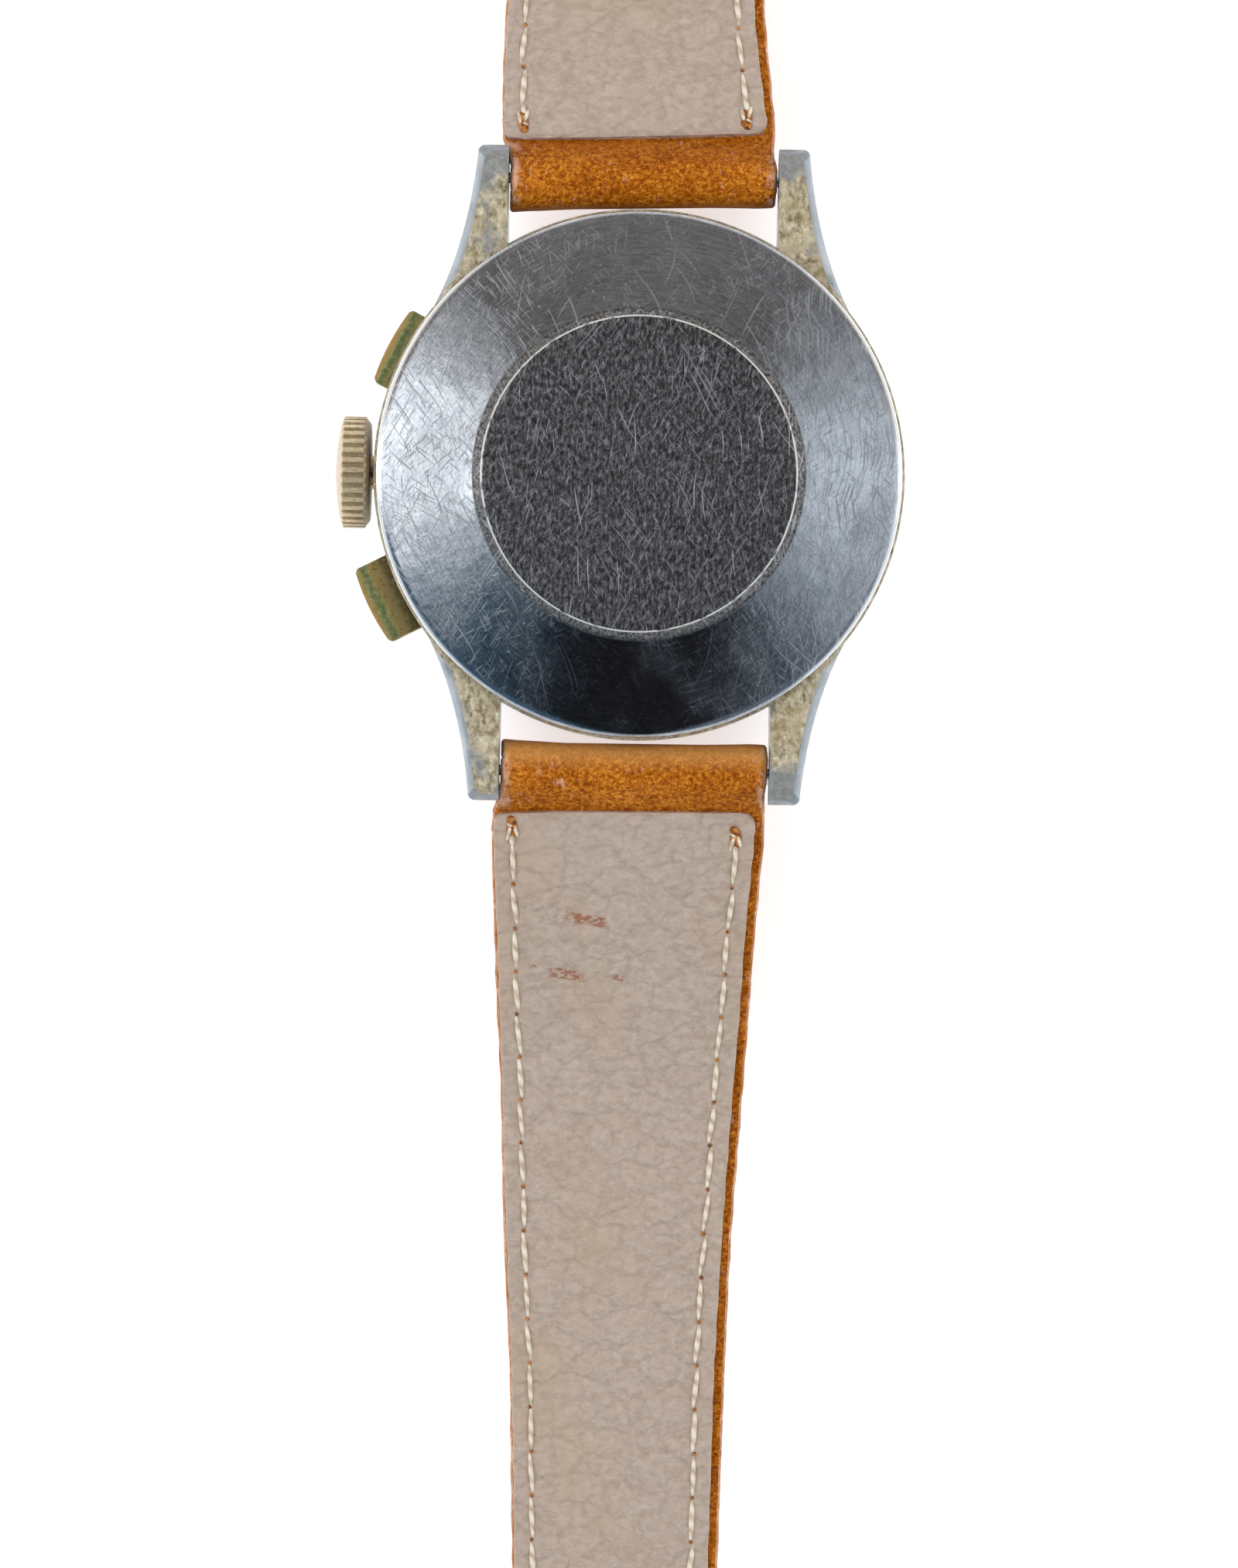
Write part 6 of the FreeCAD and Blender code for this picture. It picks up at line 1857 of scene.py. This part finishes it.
@dataclass
class Keepers:
    """The two leather loops on the buckle half."""

    fixed_y: float = 84.0
    free_y: float = 72.0
    fixed_half: float = 7.36
    free_half: float = 7.807
    corner: float = 1.0
    wide: float = 4.2
    thick: float = 0.9
    side_gap: float = 0.38
    strap_mid: float = -10.87
    strap_half_t: float = 1.15
    over_gap: float = 0.08

    def loop(self, name: str, y: float, inner_half: float) -> Piece:
        """One loop: a box, its corners along the strap rounded, hollowed and its edges softened.

        Args:
            name: The piece's name.
            y: Its place along the strap.
            inner_half: Half of its inside width.

        Returns:
            The loop.
        """
        low = self.strap_mid - self.strap_half_t - self.over_gap
        high = self.strap_mid + self.strap_half_t + self.over_gap
        t, half = self.thick, self.wide / 2
        outer = block(name, (-inner_half - t, y - half, low - t), (inner_half + t, y + half, high + t))
        bpy.ops.object.mode_set(mode="EDIT")
        bpy.ops.mesh.select_all(action="DESELECT")
        bpy.ops.object.mode_set(mode="OBJECT")
        for edge in outer.data.edges:
            a, b = (outer.data.vertices[i].co for i in edge.vertices)
            edge.select = abs(a.y - b.y) > 1e-5
        bpy.ops.object.mode_set(mode="EDIT")
        bpy.ops.mesh.bevel(offset=self.corner * MM, segments=5, affect="EDGES")
        bpy.ops.object.mode_set(mode="OBJECT")
        inner = block(name + "_inside", (-inner_half, y - self.wide, low), (inner_half, y + self.wide, high), 0.25)
        modifier = outer.modifiers.new("hollow", "BOOLEAN")
        modifier.object = inner
        modifier.solver = "EXACT"
        apply_all(outer)
        bpy.data.objects.remove(inner)
        soften(outer, 0.16, 3, 40.0, 50.0)
        coat(outer, TanLeather("cognac_leather"), CutLeather("cut_leather"))
        for face in outer.data.polygons:
            if abs(face.normal.y) > 0.8:
                face.material_index = 1
        return outer

    def build(self) -> None:
        """Build both loops."""
        stand_for(self.loop("fixed_loop", self.fixed_y, self.fixed_half + self.side_gap), "fixed_keeper")
        stand_for(self.loop("free_loop", self.free_y, self.free_half + self.side_gap), "free_keeper")


@dataclass
class Buckle:
    """Pin buckle."""

    rounding: float = 0.12

    def build(self) -> None:
        """Finish the frame and the tongue."""
        steel = FineSteel("buckle_steel", (0.64, 0.65, 0.66), (10, 0.8, 6), 0.22)
        for node in ("buckle_frame", "buckle_tongue"):
            coat(refined(node, self.rounding, 3, 30.0, 45.0), steel)


# ------------------------------------------------------------------ stage


@dataclass
class Stage:
    """White floor, soft lights and the camera over the case back."""

    camera_x: float = -1.06
    camera_y: float = -22.08
    distance: float = 500.0
    roll: float = 0.95
    field_high: float = 111.4
    floor_level: float = -13.02
    tent: Colour = (0.84, 0.84, 0.84)
    left_panel: Colour = (1.95, 2.00, 2.05)
    right_panel: Colour = (0.88, 0.94, 1.00)
    far_panel: Colour = (0.21, 0.19, 0.178)
    low_left: Colour = (0.05, 0.10, 0.15)
    low_right: Colour = (0.14, 0.17, 0.205)
    backdrop: Colour = (1.0, 1.0, 1.0)
    darkness: Colour = (0.012, 0.012, 0.014)
    lamp_at: Point = (0.62, 0.05, 0.55)
    lamp_size: tuple[float, float] = (0.5, 0.7)
    left_power: float = 2.85
    right_power: float = 2.3

    def build_floor(self) -> None:
        """Lay the floor."""
        clear_selection()
        bpy.ops.mesh.primitive_plane_add(size=4.0, location=(0, 0, self.floor_level * MM))
        floor = fresh("floor")
        settle(floor)
        coat(floor, PaleFloor("pale_floor"))

    def build_world(self) -> None:
        """Soft tent: pale sides, a dark gap overhead, and glowing panels each side of the camera."""
        g = Graph("tent", world=True)
        bpy.context.scene.world = g.holder
        x, y, z = g.axes(g.source("Generated"))
        beside = [g.step(abs(y - middle), wide, -0.014) for middle, wide in ((0.055, 0.115), (0.045, 0.150))]
        low_side = g.step(y, 0.02, -0.03)
        high = z + abs(y) * 0.18
        level = g.step(z, 0.0, 0.35) * 0.35 + 0.65
        gap = g.step(z, 0.10, 0.24) * g.step(z, 0.62, 0.44)
        level = level * (1.0 - gap * 0.42)
        layers = [(g.step(high, 0.975, 0.62) * level, self.tent),
                  (g.step(x, -0.075, -0.118) * beside[0], self.left_panel),
                  (g.step(x, 0.080, 0.130) * beside[1], self.right_panel),
                  (g.step(y, 0.075, 0.190), self.far_panel),
                  (g.step(x, -0.04, -0.11) * low_side, self.low_left),
                  (g.step(x, 0.05, 0.12) * low_side, self.low_right),
                  (g.node("ShaderNodeLightPath", out="Is Camera Ray"), self.backdrop)]
        light = self.darkness
        for share, colour in layers:
            light = g.blend(share, light, colour, "ADD")
        g.feed(g.out.inputs[0], g.node("ShaderNodeBackground", [(0, light)]))

    def build_lights(self) -> None:
        """Two soft boxes beside the camera."""
        across, along, up = self.lamp_at
        for name, side, power in (("soft_left", -1, self.left_power), ("soft_right", 1, self.right_power)):
            clear_selection()
            bpy.ops.object.light_add(type="AREA", location=(side * across, along, up))
            lamp = bpy.context.active_object
            lamp.name = name
            lamp.data.shape = "RECTANGLE"
            lamp.data.size, lamp.data.size_y = self.lamp_size
            lamp.data.energy = power
            aim = Vector((0, 0, -0.01)) - lamp.location
            lamp.rotation_mode = "QUATERNION"
            lamp.rotation_quaternion = aim.to_track_quat("-Z", "Y")
            lamp.visible_glossy = False

    def build_camera(self) -> None:
        """Set the camera straight over the back, rolled a little."""
        clear_selection()
        bpy.ops.object.camera_add(location=(self.camera_x * MM, self.camera_y * MM, self.distance * MM),
                                  rotation=(0, 0, math.radians(self.roll)))
        camera = bpy.context.active_object
        camera.name = "camera"
        camera.data.sensor_width = 36.0
        camera.data.lens = 18.0 / (self.field_high / 2 / self.distance)
        camera.data.clip_start = 0.01
        camera.data.clip_end = 20.0
        camera.data.dof.use_dof = False
        bpy.context.scene.camera = camera

    def build(self) -> None:
        """Build the stage."""
        self.build_floor()
        self.build_world()
        self.build_lights()
        self.build_camera()
        view = bpy.context.scene.view_settings
        view.view_transform = "Standard"
        view.look = "None"


def main() -> None:
    """Build the watch, piece by piece, and its stage."""
    logging.basicConfig(level=logging.INFO, format="%(name)s: %(message)s")
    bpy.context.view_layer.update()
    for assembly in (Case(), Controls(), Movement(), Dial(),
                     Strap(Side.TWELVE, -10.87, 95.0, False), Strap(Side.SIX, -11.85, 135.0, True),
                     Keepers(), Buckle(), Stage()):
        assembly.build()
        LOG.info("built %s", type(assembly).__name__)


if __name__ == "__main__":
    main()
